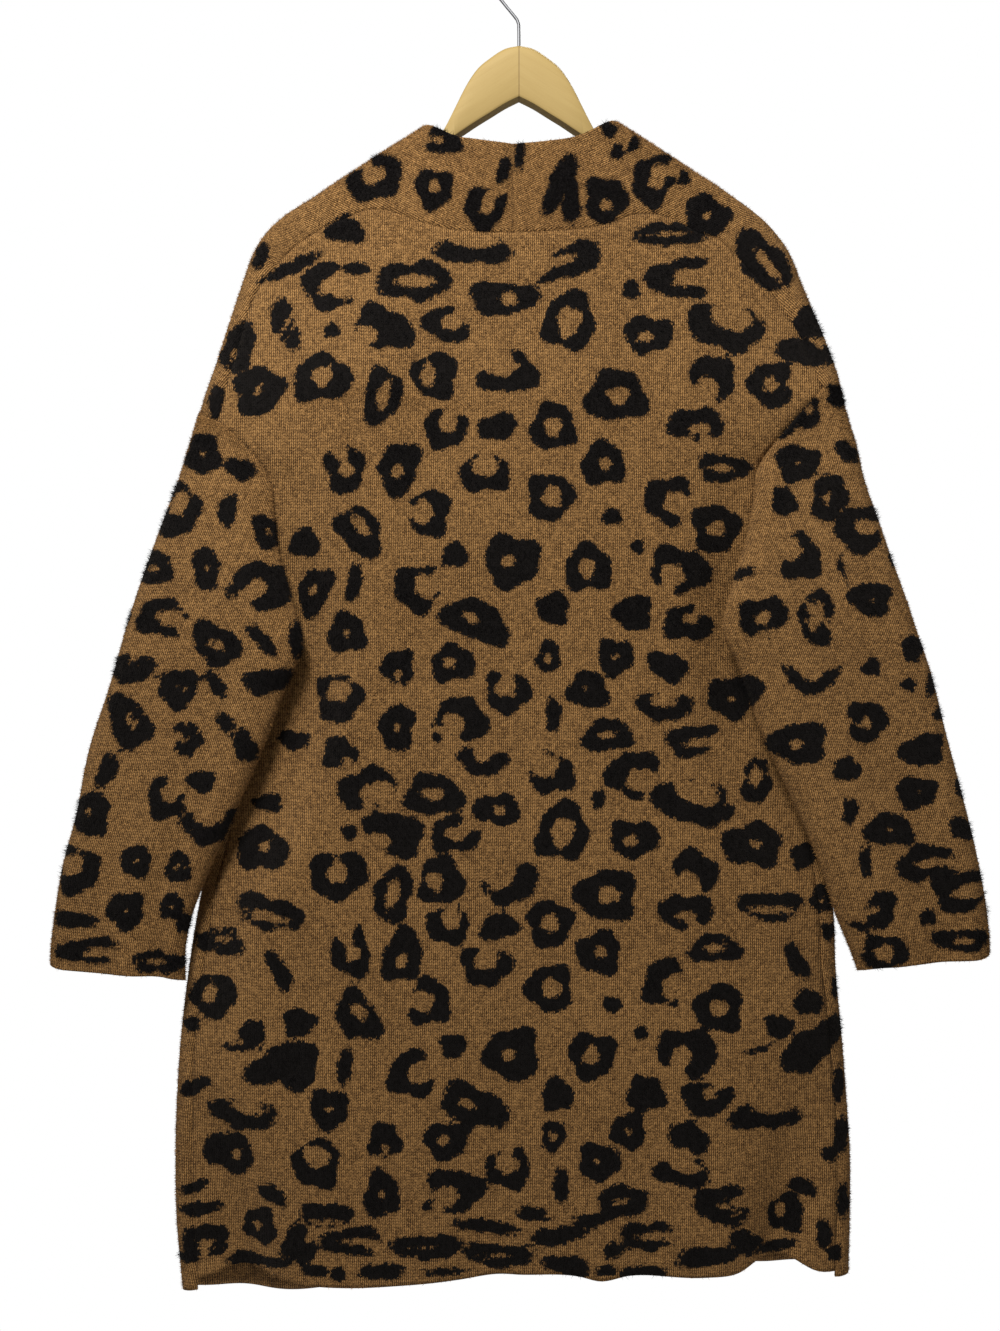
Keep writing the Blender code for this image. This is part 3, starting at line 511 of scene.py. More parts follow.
# The back's columns follow this smoother edge, and only the last of them the real one.
COLUMN_EDGE = table("drop out", [(250, 200), (560, 206), (960, 285), (1160, 283)])


def back_points():
    """Grid of the back's points: rows from neck to hem, columns from right to left."""
    edges = {name: fine_edge(side) for name, side in SIDES.items()}
    shared = (edges["left"][2] + edges["right"][2]) / 2
    columns = []
    for name in ("right", "left"):
        side, top = SIDES[name], SIDES[name].shoulder_seam
        edge_out, edge_drop, reached = edges[name]
        half, _ = fine_rows([STEPS_SHORT] * (len(top["out"]) - 1 - CORNER))
        top_out, top_drop = stations(top, "out", half + CORNER), stations(top, "drop", half + CORNER)
        share = (side.sign * top_out - CENTRE_BACK) / (side.sign * edge_out[0] - CENTRE_BACK)
        smooth_edge = np.interp(edge_drop, COLUMN_EDGE["drop"], COLUMN_EDGE["out"])
        pulled = share[None, :] * (smooth_edge - smooth_edge[0] + edge_out[0])[:, None]
        pulled = pulled + (edge_out - smooth_edge + smooth_edge[0] - edge_out[0])[:, None] * share**6
        out = side.sign * (pulled + (1 - share) * side.sign * CENTRE_BACK)
        down = shared[:, None] + (reached - shared)[:, None] * share
        drop = top_drop + (hem_drop(out[-1]) - top_drop) * down
        points = np.stack([side.sign * out, side.back(side.sign * out, drop), drop], -1)
        columns.append(placed(side, points) if name == "right" else placed(side, points)[:, ::-1][:, 1:])
    return np.concatenate(columns, axis=1)


def side_seam(side):
    """The side seam's stations from the underarm down, on the back of the side fold."""
    fold = side.side_fold
    return fold["out"][1:-1] - fold["seam_in"][1:-1], fold["drop"][1:-1]


def spread(across, down, side, count):
    """Places along each row, closer together where the cloth turns over a fold."""
    even = np.linspace(0, 1, 81)
    a = across[0][:, None] + (across[1] - across[0])[:, None] * even
    d = down[0][:, None] + (down[1] - down[0])[:, None] * even
    _, _, distance = side.nearest(a, d)
    low = d > side.mid_arm
    distance = np.where(low, a - smooth(side.side_fold, "out", d), distance)
    weight = np.cumsum(1 + 1.6 * np.exp(-((distance / 20) ** 2)), axis=1)
    weight = (weight - weight[:, :1]) / (weight[:, -1:] - weight[:, :1])
    at = np.linspace(0, 1, count)
    return np.stack([np.interp(at, row, even) for row in weight])


# A front's rows run level below LEVEL_BELOW. Above it, up to the underarm's, their ends on
# the front edge draw up, to so far below the first place in the edge's own table.
LEVEL_BELOW, UNDERARM_ROW = 1000, 600
EDGE_END = {"underarm": 205, "top_of_arm": 72, "sleeve_top": 38}
NEXT_ROW = 14


def front_rows(side):
    """Inner and outer ends of a front's rows, from the hem up and round to centre back."""
    arm, seam, edge = side.armhole, side.shoulder_seam, FRONT_EDGE[side.name]
    seam_out, seam_drop = side_seam(side)
    seam_drop = np.append(seam_drop[:-1], FRONT_HEM[side.name]["seam"])[::-1]
    seam_out = seam_out[::-1]
    arm_drop = arm["drop"][::-1]
    top_drop = side.top_of_arm - SLEEVE_TOP_RISE[side.name]
    top_out = float(np.interp(top_drop, side.line[:, 1], side.line[:, 0]))
    out = np.concatenate([seam_out, side.seam_out(arm_drop, -1), [top_out], seam["out"]])
    # the armhole runs lower at the front than at the back, near the top of the arm
    low_arm_drop = arm_drop + FRONT_LOWER * side.arm_top(arm_drop)
    drop = np.concatenate([seam_drop, low_arm_drop, [top_drop], seam["drop"]])
    sides, arms = len(seam_out), len(arm_drop)
    fold_out = smooth(side.side_fold, "out", seam_drop)
    across, down = side.unfold(out, drop, np.where(np.arange(len(out)) < sides + arms, -1, 1))
    across[:sides] = fold_out + fold_arc(fold_out - seam_out)
    down[:sides] = seam_drop
    part = side.over_shoulder(arm_drop)
    arm_rows = slice(sides, sides + arms)
    across[arm_rows] = out[arm_rows] + (across[arm_rows] - out[arm_rows]) * part
    down[arm_rows] = low_arm_drop + (down[arm_rows] - low_arm_drop) * part
    across[sides + arms], down[sides + arms] = top_out, top_drop
    depth = np.concatenate(
        [side.back(seam_out, seam_drop), side.seam_depth(arm_drop, -1),
         [smooth(SHOULDER_DEPTH, "depth", top_drop)], side.back(seam["out"], seam["drop"])]
    )
    # the front edge, from the hem to centre back
    first = edge["drop"][0]
    drawn_up = ramp((LEVEL_BELOW - seam_drop) / (LEVEL_BELOW - UNDERARM_ROW))
    low_drop = seam_drop + (first + EDGE_END["underarm"] - UNDERARM_ROW) * drawn_up
    low_drop[0] = FRONT_HEM[side.name]["edge"]
    arm_edge = np.linspace(low_drop[-1] - NEXT_ROW, first + EDGE_END["top_of_arm"], arms)
    low_drop = np.concatenate([low_drop, arm_edge, [first + EDGE_END["sleeve_top"]]])
    in_out = np.concatenate([smooth(EDGE_OUT[side.name], "out", low_drop), edge["out"]])
    in_drop = np.concatenate([low_drop, edge["drop"]])
    in_layer = np.concatenate([np.full(len(low_drop), -1.0), edge["layer"]])
    in_across, in_down = side.unfold(in_out, in_drop, in_layer)
    in_across[: len(low_drop)], in_down[: len(low_drop)] = in_out[: len(low_drop)], low_drop
    return {
        "in_across": in_across, "in_down": in_down, "across": across, "down": down,
        "out": out, "depth": depth, "drop": drop,
    }


def front_points(side, columns):
    """Grid of a front's points from the hem up and round to centre back, and its flat places."""
    rows = front_rows(side)
    row, _ = fine_rows(front_steps(side))
    read = {name: stations(rows, name, row) for name in rows}
    across = read["in_across"], read["across"]
    down = read["in_down"], read["down"]
    t = spread(across, down, side, columns)
    flat_across = across[0][:, None] + (across[1] - across[0])[:, None] * t
    flat_down = down[0][:, None] + (down[1] - down[0])[:, None] * t
    sag = FRONT_HEM[side.name]["sag"] * np.clip(1 - row, 0, 1)
    flat_down += sag[:, None] * np.sin(np.pi * t)
    points = side.fold_up(flat_across, flat_down)
    seam = np.stack([read["out"], read["depth"], read["drop"]], -1)
    miss = seam - points[:, -1]
    points = points + miss[:, None, :] * (t**8)[:, :, None]
    return placed(side, points), np.stack([flat_across, flat_down], -1)


# Points round half a sleeve: its inner roll, and then its flat and its outer fold, each.
ROLL_POINTS, FLAT_POINTS = 50, 40


def sleeve_section(side, drop):
    """Half round a sleeve from its back edge to the outer fold, then from its front edge."""
    centre = smooth(side.sleeve, "depth", drop)
    outer = smooth(side.sleeve, "outer", drop) - OUTER_REACH
    inner, reach = side.inner_fold(drop), side.roll_reach(drop)
    halves = []
    for face in (1, -1):
        roll = np.linspace(side.turn(drop, face), np.pi / 2, ROLL_POINTS)
        nose = np.linspace(np.pi / 2, 0, FLAT_POINTS)
        x = np.concatenate([inner + reach * np.cos(roll), outer + OUTER_REACH * np.cos(nose)])
        swell = np.concatenate([np.sin(roll), np.sin(nose)])
        flat = np.linspace(x[ROLL_POINTS - 1], x[ROLL_POINTS], FLAT_POINTS + 2)[1:-1]
        x = np.concatenate([x[:ROLL_POINTS], flat, x[ROLL_POINTS:]])
        swell = np.insert(swell, ROLL_POINTS, np.ones(FLAT_POINTS))
        share = (x - (inner - reach)) / (outer + OUTER_REACH - inner + reach)
        y = centre + face * swell * FOLD_THICK
        kinds = SLEEVE_FOLDS
        for k in np.flatnonzero((kinds["side"] == side.sign) & (kinds["face"] == face)):
            t = np.clip((drop - kinds["top"][k]) / (kinds["bottom"][k] - kinds["top"][k]), 0, 1)
            line = kinds["across_top"][k] + t * (kinds["across_bottom"][k] - kinds["across_top"][k])
            shape = np.exp(-(((share - line) / kinds["width"][k]) ** 2))
            y = y + ramp(t) * face * kinds["deep"][k] * shape * np.maximum(swell, 0)
        weight = np.hypot(np.gradient(x), np.gradient(y)) * (1 + 1.2 * (swell < 0.999))
        halves.append((x, y, np.cumsum(weight) - weight[0]))
    return halves


def sleeve_points(side, columns, front):
    """Grid of a sleeve's points: rows from the armhole to the cuff, round from the back."""
    drops = np.concatenate([side.armhole["drop"], SLEEVE_ROWS[side.name]])
    rows = stations({"drop": drops}, "drop", fine_rows(sleeve_steps(side))[0])
    rise = SLEEVE_TOP_RISE[side.name]
    at = np.linspace(0, 1, columns)
    points = []
    for drop in rows:
        top = side.arm_top(drop)
        here = drop - rise * top * at + CUFF_TILT * (1 - 2 * at) * ramp((drop - 640) / 240)
        shift = smooth(side.sleeve, "outer", here) - smooth(side.sleeve, "outer", drop)
        line = []
        for (x, y, weight), lower in zip(sleeve_section(side, drop), (0, FRONT_LOWER)):
            x = np.interp(weight[-1] * at, weight, x) + shift * at
            y = np.interp(weight[-1] * at, weight, y)
            line.append(np.stack([x, y, here + lower * top * (1 - at)], -1))
        points.append(np.concatenate([line[0], line[1][::-1][1:]]))
    points = placed(side, np.array(points))
    # the sleeve's top runs along the front piece's edge over the shoulder
    _, row = fine_rows(front_steps(side))
    over = row[len(side_seam(side)[0]) + len(side.armhole["drop"]) - 1]
    edge = front[over : over + 2 * STEPS_SHORT + 1, -1][::-1]
    share = np.linspace(0, len(edge) - 1, 2 * columns - 1)
    points[0] = np.stack([np.interp(share, np.arange(len(edge)), edge[:, k]) for k in range(3)], -1)
    return points


def sewn_pieces(front_columns, sleeve_columns):
    """The five pieces' grids of points, sewn together, and the fronts' flat places."""
    back = back_points()
    grids, flats = {"back": back}, {}
    for name, side in SIDES.items():
        front, flats["front_" + name] = front_points(side, front_columns)
        sleeve = sleeve_points(side, sleeve_columns, front)
        grids["front_" + name], grids["sleeve_" + name] = front, sleeve
        edge, inner = (back[:, -1], back[:, -2]) if name == "left" else (back[:, 0], back[:, 1])
        top, under = (back[0, ::-1], back[1, ::-1]) if name == "left" else (back[0], back[1])
        arms = len(side.armhole["drop"])
        _, back_row = fine_rows(back_steps(side))
        _, front_row = fine_rows(front_steps(side))
        sides = len(side_seam(side)[0])
        arm_first, arm_last = back_row[CORNER], back_row[CORNER + arms - 1]
        under_arm, over_arm = front_row[sides], front_row[sides + arms - 1]
        corner = front_row[sides + arms + 1 + CORNER]
        arm_end = arm_last - arm_first
        last = len(front) - 1 - corner
        seam, next_in = front[:, -1], front[:, -2]
        sew(1, top[: last + 1], under[: last + 1], seam[corner:], next_in[corner:])
        sew(1, edge[1:arm_first], inner[1:arm_first],
            seam[corner - 1 : corner - arm_first : -1], next_in[corner - 1 : corner - arm_first : -1])
        sew(1, edge[arm_last + 1 :], inner[arm_last + 1 :],
            seam[under_arm - 1 :: -1], next_in[under_arm - 1 :: -1])
        sew(1, edge[arm_first : arm_last + 1], inner[arm_first : arm_last + 1],
            sleeve[: arm_end + 1, 0], sleeve[: arm_end + 1, 1])
        sew(-1, seam[over_arm : under_arm - 1 : -1], next_in[over_arm : under_arm - 1 : -1],
            sleeve[: arm_end + 1, -1], sleeve[: arm_end + 1, -2])
        sew(0, sleeve[arm_end + 1 :, 0], sleeve[arm_end + 1 :, 1],
            sleeve[arm_end + 1 :, -1], sleeve[arm_end + 1 :, -2])
    left, right = grids["front_left"], grids["front_right"]
    sew(1, left[-1], left[-2], right[-1], right[-2])
    return grids, flats


# The print is charted in pixels of the photograph: millimetres to a pixel, and the
# pixels where the centre line and the rail's height fall.
CHART_STEP = 0.87
CHART_CENTRE = 519.2
CHART_TOP = -47.9
MOTIF_COLUMNS = "across down wide tall turn hole_wide hole_tall hole_across hole_down gap gap_wide"


def charted(*rows):
    """Motifs, one a row. What a row leaves out is 0: no turn, no hole, no gap in the ring."""
    count = len(MOTIF_COLUMNS.split())
    return table(MOTIF_COLUMNS, [row + (0,) * (count - len(row)) for row in rows])


# Rosettes, bars and dots of the back. A gap is the direction that a ring opens in, in
# degrees clockwise from the right, and half the opening's width.
BACK_PRINT = charted(
    (345, 228, 40, 24, 10), (334, 283, 68, 47, -6, 46, 26, 8, 1, 22, 40),
    (415, 281, 75, 38, 0, 42, 14), (475, 249, 75, 28, 0, 52, 20, 0, -11, -90, 62),
    (501, 299, 68, 32, 0, 20, 14, 8), (283, 321, 24, 56, -22, 8, 16, 2, 4), (332, 330, 16, 15),
    (383, 328, 60, 40, 22, 26, 16, -12, 12, 118, 50),
    (449, 324, 48, 36, 0, 24, 16, 2, -1, -40, 30), (322, 378, 58, 46, -8, 22, 22, 0, -2),
    (383, 396, 36, 57, 14, 14, 30), (435, 376, 44, 46, 0, 16, 22, -7),
    (508, 372, 58, 42, 0, 34, 26, -8, -7, -150, 50), (445, 430, 42, 38, 0, 20, 22, 3, -7, -85, 26),
    (498, 427, 40, 25, -12), (553, 427, 44, 46, 0, 18, 20),
    (345, 468, 38, 50, -12, 16, 16, 2, 2, -100, 24), (399, 468, 38, 54, 16, 12, 16, 0, 5),
    (485, 473, 50, 38, 0, 26, 20, 0, -6, -90, 34), (550, 497, 46, 46, 0, 20, 22, 2),
    (570, 262, 74, 30, -22, 30, 10, -6, -4, 190, 26), (569, 322, 50, 58, 14, 24, 32),
    (668, 232, 76, 23, -4, 36, 5), (683, 277, 68, 40, -8, 40, 20, 8, 0, 5, 40), (631, 290, 17, 19),
    (648, 335, 48, 36, 0, 16, 12, -3, 2), (728, 326, 78, 46, 8, 46, 26, 2, -10, -75, 34),
    (616, 396, 60, 50, 0, 22, 19, 2), (713, 378, 42, 48, -24, 20, 30, -9, 8, 150, 62),
    (697, 425, 56, 32, 0, 22, 12, 2, 4, 60, 30), (603, 464, 43, 43, 0, 14, 13, 2),
    (722, 468, 52, 27, 0, 24, 9), (771, 384, 44, 46, 0, 16, 18), (304, 542, 32, 28, 10),
    (360, 531, 38, 54, -36, 13, 24, 4, -3), (429, 513, 42, 46, 8, 21, 24, -6, 0, 175, 34),
    (455, 555, 26, 24), (512, 561, 54, 52, 0, 15, 13, -4),
    (418, 588, 46, 46, 20, 24, 26, 7, -5, -35, 44), (476, 620, 70, 38, 22, 18, 10, -6),
    (355, 583, 14, 37, 10), (314, 590, 32, 50, 26, 9, 11, -2), (347, 633, 38, 40, 0, 8, 8),
    (339, 698, 46, 48, 0, 28, 22, 0, -7), (398, 667, 32, 35, 0, 8, 10, 0, 8, 90, 14),
    (453, 663, 44, 36, -8, 14, 12, -3, -1), (508, 692, 44, 41, 0, 24, 21, -2, -5, -85, 26),
    (397, 727, 34, 46, 6, 7, 9), (461, 719, 54, 42, 8, 23, 22, -7, 6, 130, 36), (437, 737, 11, 10),
    (553, 608, 31, 33), (548, 657, 23, 32, 10, 8, 12), (554, 713, 15, 34),
    (668, 500, 46, 47, 10, 24, 26, 8, 2, 15, 50), (612, 517, 20, 16),
    (716, 528, 48, 47, 0, 20, 17), (637, 547, 14, 14), (588, 568, 46, 46, 0, 17, 21, -1),
    (679, 570, 60, 44, 12, 23, 25, -6, 7, 100, 32), (633, 613, 38, 35),
    (687, 623, 50, 33, 4, 17, 12, 3, -5, -50, 24), (615, 657, 35, 36, 0, 8, 7),
    (668, 667, 42, 27, 24), (588, 690, 41, 36, 16, 7, 7, -2),
    (663, 707, 56, 27, 4, 32, 15, 0, -7, -90, 40), (732, 698, 46, 42, 10, 8, 6, 2, 2),
    (607, 735, 50, 32, -6, 20, 7), (692, 741, 54, 30, -8, 32, 10, 6, 2, 10, 26),
    (770, 640, 40, 36, 0, 14, 12), (760, 560, 36, 44),
)
# Collar, shoulders and the tops of the sleeves' seams, on the fronts where they come
# over to the back.
COLLAR_PRINT = charted(
    (443, 139, 38, 27, 6, 16, 8, -6, 0, 175, 22), (434, 188, 37, 40, -14, 13, 14, 1, -2),
    (485, 208, 40, 43, 24, 14, 26, 1, -5, -80, 26), (503, 172, 12, 27, 14), (520, 154, 9, 33, 4),
    (560, 181, 20, 66, 24), (571, 203, 17, 48), (606, 199, 42, 46, 0, 13, 12, 0, 6),
    (609, 128, 17, 15, 30), (617, 150, 13, 16, 10), (634, 142, 10, 17, 30),
    (654, 177, 40, 54, 24, 17, 30, 3, -5, -50, 26), (685, 175, 12, 14),
    (708, 212, 46, 40, 20, 9, 10), (376, 176, 58, 40, -28, 26, 18, -1, -5, -90, 26),
    (347, 225, 42, 26, 6, 10, 5, -5), (259, 252, 13, 27, 22), (215, 400, 14, 34, 4),
    (811, 321, 32, 32), (837, 395, 18, 27, -10), (830, 352, 16, 20),
)
# On the shoulder seams, running over both pieces.
SEAM_PRINT = charted(
    (293, 263, 60, 13, -25), (237, 347, 30, 52, 16, 7, 12, -3, 8), (258, 390, 50, 48, -22, 13, 13),
    (766, 259, 70, 40, 50, 42, 10, 2, -2), (803, 350, 50, 26, 14),
)
# Below the sleeves, at the sides and along the hem, where the motifs flatten and crowd.
LOWER_PRINT = charted(
    (693, 802, 76, 42, 8, 46, 24, 2, -10, -75, 34), (340, 753, 34, 31, 0, 12, 9, 8, 8, 60, 30),
    (292, 741, 32, 19, 10), (369, 789, 58, 42, -8, 36, 24, 8, 5, 50, 46),
    (433, 794, 58, 40, 0, 24, 13), (482, 762, 48, 27, 8, 22, 16, 0, -8, -90, 50),
    (498, 809, 48, 30, 4, 14, 10, 1, 1), (552, 773, 44, 40, 0, 28, 26, -8, -8, -140, 50),
    (598, 799, 12, 20, 6), (634, 775, 54, 46, 6, 30, 24, 7, 4, 30, 44),
    (261, 850, 54, 42, 4, 14, 11, 2, -2), (268, 913, 70, 32, 12, 46, 10, 0, 3), (267, 804, 30, 18),
    (296, 1240, 22, 34, 20), (315, 1267, 30, 9, 4), (276, 1262, 34, 9, -6), (186, 1262, 26, 9),
    (721, 1208, 54, 22, 26, 30, 9, 4, -4, -60, 36), (606, 1268, 26, 8), (532, 1212, 32, 12, 8),
    (591, 1218, 34, 12, -10), (220, 943, 52, 26, 4, 24, 8, 0, -2), (281, 972, 17, 44, -28),
    (213, 997, 46, 44, 0, 16, 20, -4, -1), (253, 1032, 26, 24), (236, 1047, 34, 7, 4),
    (190, 1027, 17, 15, 10), (279, 1062, 66, 31, -28), (193, 1089, 32, 15, -30),
    (243, 1115, 70, 28, 6, 40, 16, 6, -9, -80, 50), (229, 1154, 52, 40, 12, 12, 12, 7),
    (273, 1193, 32, 14, 28), (192, 1191, 30, 10, -20), (260, 1227, 35, 32, -6, 10, 10, -3),
    (197, 1213, 44, 12, -8), (326, 1213, 52, 22, 0, 30, 6, 0, 6, 90, 50),
    (356, 1238, 62, 24, 0, 38, 7, 2, 0, 20, 14), (306, 1249, 24, 18, -30), (299, 1230, 12, 10),
    (203, 1244, 50, 26, 0, 20, 10, 0, 4, 90, 30), (244, 1263, 46, 12),
    (428, 1245, 70, 21, 0, 28, 4), (384, 1268, 46, 13), (485, 1225, 62, 12, 8),
    (498, 1255, 68, 20, 6, 26, 5), (339, 1270, 15, 12), (443, 1269, 42, 7),
    (558, 1234, 60, 15, -12), (569, 1263, 46, 17, 10), (613, 1248, 20, 13),
    (648, 1234, 58, 24, -6, 40, 9, 8, 0, 10, 24), (646, 1270, 48, 12), (702, 1253, 62, 17, -4),
    (745, 1243, 36, 20, 34), (788, 1217, 37, 34, 0, 12, 15, -5, -3), (804, 1189, 30, 14, 20),
    (777, 1252, 46, 10, -8), (766, 1115, 74, 26, 0, 42, 14, 6, -9, -80, 44), (826, 1237, 15, 26),
    (836, 1256, 16, 14), (840, 1089, 12, 34, 4), (843, 1137, 15, 34), (831, 1156, 14, 18, -30),
    (845, 1206, 12, 30), (759, 783, 30, 45, 12, 14, 22, -2, -5), (727, 812, 15, 15),
    (754, 845, 62, 42, 4, 14, 10, 2), (809, 857, 36, 24, -30), (772, 907, 66, 28, 4, 48, 8, 0, 2),
    (797, 963, 17, 42, -32), (808, 1003, 32, 24, 10), (778, 1026, 28, 23, 12),
    (757, 1049, 26, 6, -12), (812, 1048, 74, 36, -32), (837, 990, 8, 20),
    (825, 902, 24, 28, 0, 6, 6), (831, 934, 14, 17),
)
SLEEVE_PRINT = {
    "left": charted(
        (204, 455, 34, 40, 0, 6, 8), (181, 511, 40, 54, 8, 18, 25, -1, -6, 170, 16),
        (229, 511, 18, 32, 8), (158, 569, 36, 32, 0, 11, 8, -1, 1),
        (209, 569, 26, 44, -6, 6, 8, 2), (267, 586, 56, 46, 16, 20, 22, -7, 6, 130, 30),
        (268, 533, 26, 36, -32, 6, 8), (250, 441, 28, 12, 30), (234, 593, 11, 16),
        (167, 618, 52, 37, 8, 30, 16, 7, 0, 22, 30), (130, 617, 9, 22, 8),
        (220, 645, 52, 36, 38, 18, 11), (265, 641, 14, 42, -40),
        (135, 669, 46, 27, 0, 10, 12, 3, -7, -90, 18), (182, 688, 36, 40, 20, 8, 10, 2),
        (220, 685, 14, 31, -34), (268, 681, 46, 24, -10), (296, 638, 12, 36),
        (134, 722, 38, 56, -26, 11, 18, 2), (191, 738, 28, 34, 4, 7, 14, -3, -2, 150, 16),
        (205, 780, 27, 22, 10), (169, 798, 34, 42, -18, 18, 22, 6, -5, -20, 44),
        (112, 769, 17, 38, 26), (94, 813, 40, 42, 0, 6, 8, -1, -2), (228, 722, 14, 26, -32),
        (81, 868, 44, 46, 0, 24, 22, -5, -5, 190, 26), (140, 859, 29, 32, 0, 5, 5),
        (181, 866, 25, 31, 10, 8, 8), (214, 824, 62, 34, -8, 34, 18, 0, -9, -90, 54),
        (129, 908, 35, 37, 8, 5, 5), (174, 905, 23, 27, 12, 6, 6), (76, 918, 42, 16, 4),
        (96, 948, 62, 25, -2, 38, 10, 8, 2, 10, 20), (159, 960, 48, 22, 4, 22, 7),
        (190, 922, 27, 20), (192, 960, 26, 15), (247, 745, 20, 34, -20), (285, 480, 20, 40),
        (241, 470, 30, 20, 20),
    ),
    "right": charted(
        (837, 395, 18, 27, -10), (797, 464, 42, 37, 0, 7, 7, 0, 1), (846, 452, 27, 16, 42),
        (783, 503, 24, 30, -14), (828, 499, 34, 48, 14, 8, 13, -2, 1),
        (857, 530, 46, 48, 6, 22, 17, 6, -3, -10, 22),
        (798, 559, 40, 46, 0, 22, 26, -9, -9, -140, 46), (838, 568, 9, 25, -16),
        (867, 600, 42, 33, 8, 8, 7), (892, 560, 12, 19, -30),
        (760, 618, 48, 38, -20, 18, 14, 0, 0, 110, 18), (813, 618, 32, 56, 2, 14, 32, 0, -2),
        (743, 574, 21, 10, -20), (794, 680, 42, 13, 46), (823, 680, 38, 13, -44),
        (867, 667, 17, 19, 20), (908, 649, 21, 26), (904, 684, 15, 15), (926, 686, 11, 22),
        (863, 721, 39, 41, 0, 12, 14, -2, 2), (797, 742, 54, 40, 0, 14, 11, -4, 1),
        (843, 768, 27, 23), (847, 809, 15, 27, 10), (919, 749, 44, 31, -14), (937, 713, 17, 14),
        (912, 791, 39, 32, 0, 7, 6, 2, -1), (958, 786, 15, 23), (885, 828, 50, 31, 4, 8, 5),
        (959, 828, 34, 19, 24), (861, 860, 12, 31, -6),
        (922, 861, 58, 35, -10, 30, 10, 4, 1, 10, 12),
        (958, 889, 58, 40, -12, 36, 15, 9, 1, 4, 20),
        (877, 906, 27, 39, 10, 8, 12, -6, 2, 150, 24), (925, 916, 17, 17),
        (881, 950, 43, 35, 0, 20, 18), (959, 938, 54, 21, 0, 18, 8), (858, 924, 22, 8, 30),
        (987, 908, 7, 15), (742, 690, 40, 30, 10), (808, 413, 24, 34, 8, 8, 10, 2, -3),
        (785, 428, 26, 18, -20),
    ),
}
# The back's rosettes come again lower down: how far down, how much the cloth is drawn in
# or let out there, and how the rows sag towards the middle.
REPEAT_DOWN = table(
    "down by",
    [(220, 515), (380, 509), (440, 497), (560, 493), (610, 489), (660, 480), (700, 475),
     (760, 470)],
)
REPEAT_WIDE = table(
    "down wide",
    [(220, 0.88), (400, 0.92), (560, 1.04), (620, 1.1), (700, 1.13), (760, 1.14)],
)
REPEAT_CENTRE = 505
REPEAT_SAG = 0.07
REPEAT_REACH = 222
REPEAT_FROM, REPEAT_TO = 310, 1214
# Motifs charted below this pixel are drawn taller, since the print crowds along the hem.
HEM_FROM = 1185
HEM_HEAVIER = 1.15
# How lumpy and how square a motif is, how far it can reach, and the depth far from any.
EDGE_WOBBLE = 0.11
SQUARENESS = 2.4
MOTIF_REACH = 60
NO_MOTIF = -30.0


def motifs_of(chart):
    """The chart's motifs in millimetres, placed out from the centre line and down."""
    motifs = {name: np.array(column) for name, column in chart.items()}
    for name in ("wide", "tall", "hole_wide", "hole_tall", "hole_across", "hole_down"):
        motifs[name] = motifs[name] * CHART_STEP
    motifs["across"] = (CHART_CENTRE - motifs["across"]) * CHART_STEP
    motifs["down"] = (motifs["down"] - CHART_TOP) * CHART_STEP
    return motifs


def joined(*lists):
    return {name: np.concatenate([motifs[name] for motifs in lists]) for name in lists[0]}


def repeated(chart):
    """The chart with its repeat lower down the cloth."""
    lower = {name: np.array(column) for name, column in chart.items()}
    off_centre = chart["across"] - REPEAT_CENTRE
    wide = smooth(REPEAT_WIDE, "wide", chart["down"], along="down")
    lower["across"] = REPEAT_CENTRE + off_centre * wide
    by = smooth(REPEAT_DOWN, "by", chart["down"], along="down") - REPEAT_SAG * np.abs(off_centre)
    lower["down"] = chart["down"] + by
    kept = (chart["down"] > REPEAT_FROM) & (lower["down"] < REPEAT_TO)
    kept &= np.abs(off_centre) < REPEAT_REACH
    return joined(chart, {name: column[kept] for name, column in lower.items()})


def spot_depth(motifs, x, drop):
    """How far inside the nearest motif each place lies, in millimetres; negative outside."""
    depth = np.full(np.shape(x), NO_MOTIF)
    for k in range(len(motifs["across"])):
        one = {name: column[k] for name, column in motifs.items()}
        # the chart is seen from the back, so its rightward is the garment's right
        right, down = one["across"] - x, drop - one["down"]
        near = np.hypot(right, down) < MOTIF_REACH
        if not near.any():
            continue
        right, down = right[near], down[near]
        turn = math.radians(one["turn"])
        a = right * math.cos(turn) + down * math.sin(turn)
        b = down * math.cos(turn) - right * math.sin(turn)
        angle = np.arctan2(b, a)
        wobble = 1 + EDGE_WOBBLE * (np.sin(3 * angle + 2.1 * k) + 0.7 * np.sin(5 * angle + 3.7 * k))
        small = min(one["wide"], one["tall"]) / 2
        a_share, b_share = np.abs(2 * a / one["wide"]), np.abs(2 * b / one["tall"])
        reach = (a_share**SQUARENESS + b_share**SQUARENESS) ** (1 / SQUARENESS)
        inside = (wobble - reach) * small
        if one["hole_wide"] > 0:
            p, q = a - one["hole_across"], b - one["hole_down"]
            hole = np.hypot(2 * p / one["hole_wide"], 2 * q / one["hole_tall"])
            hole_small = min(one["hole_wide"], one["hole_tall"]) / 2
            inside = np.minimum(inside, (hole - (2 - wobble)) * hole_small)
        if one["gap_wide"] > 0:
            off = np.arctan2(q, p) - math.radians(one["gap"])
            off = np.abs((off + np.pi) % (2 * np.pi) - np.pi)
            past = np.clip(off - math.radians(one["gap_wide"]), -np.pi / 2, np.pi / 2)
            inside = np.minimum(inside, np.hypot(p, q) * np.sin(past))
        depth[near] = np.maximum(depth[near], inside)
    return depth


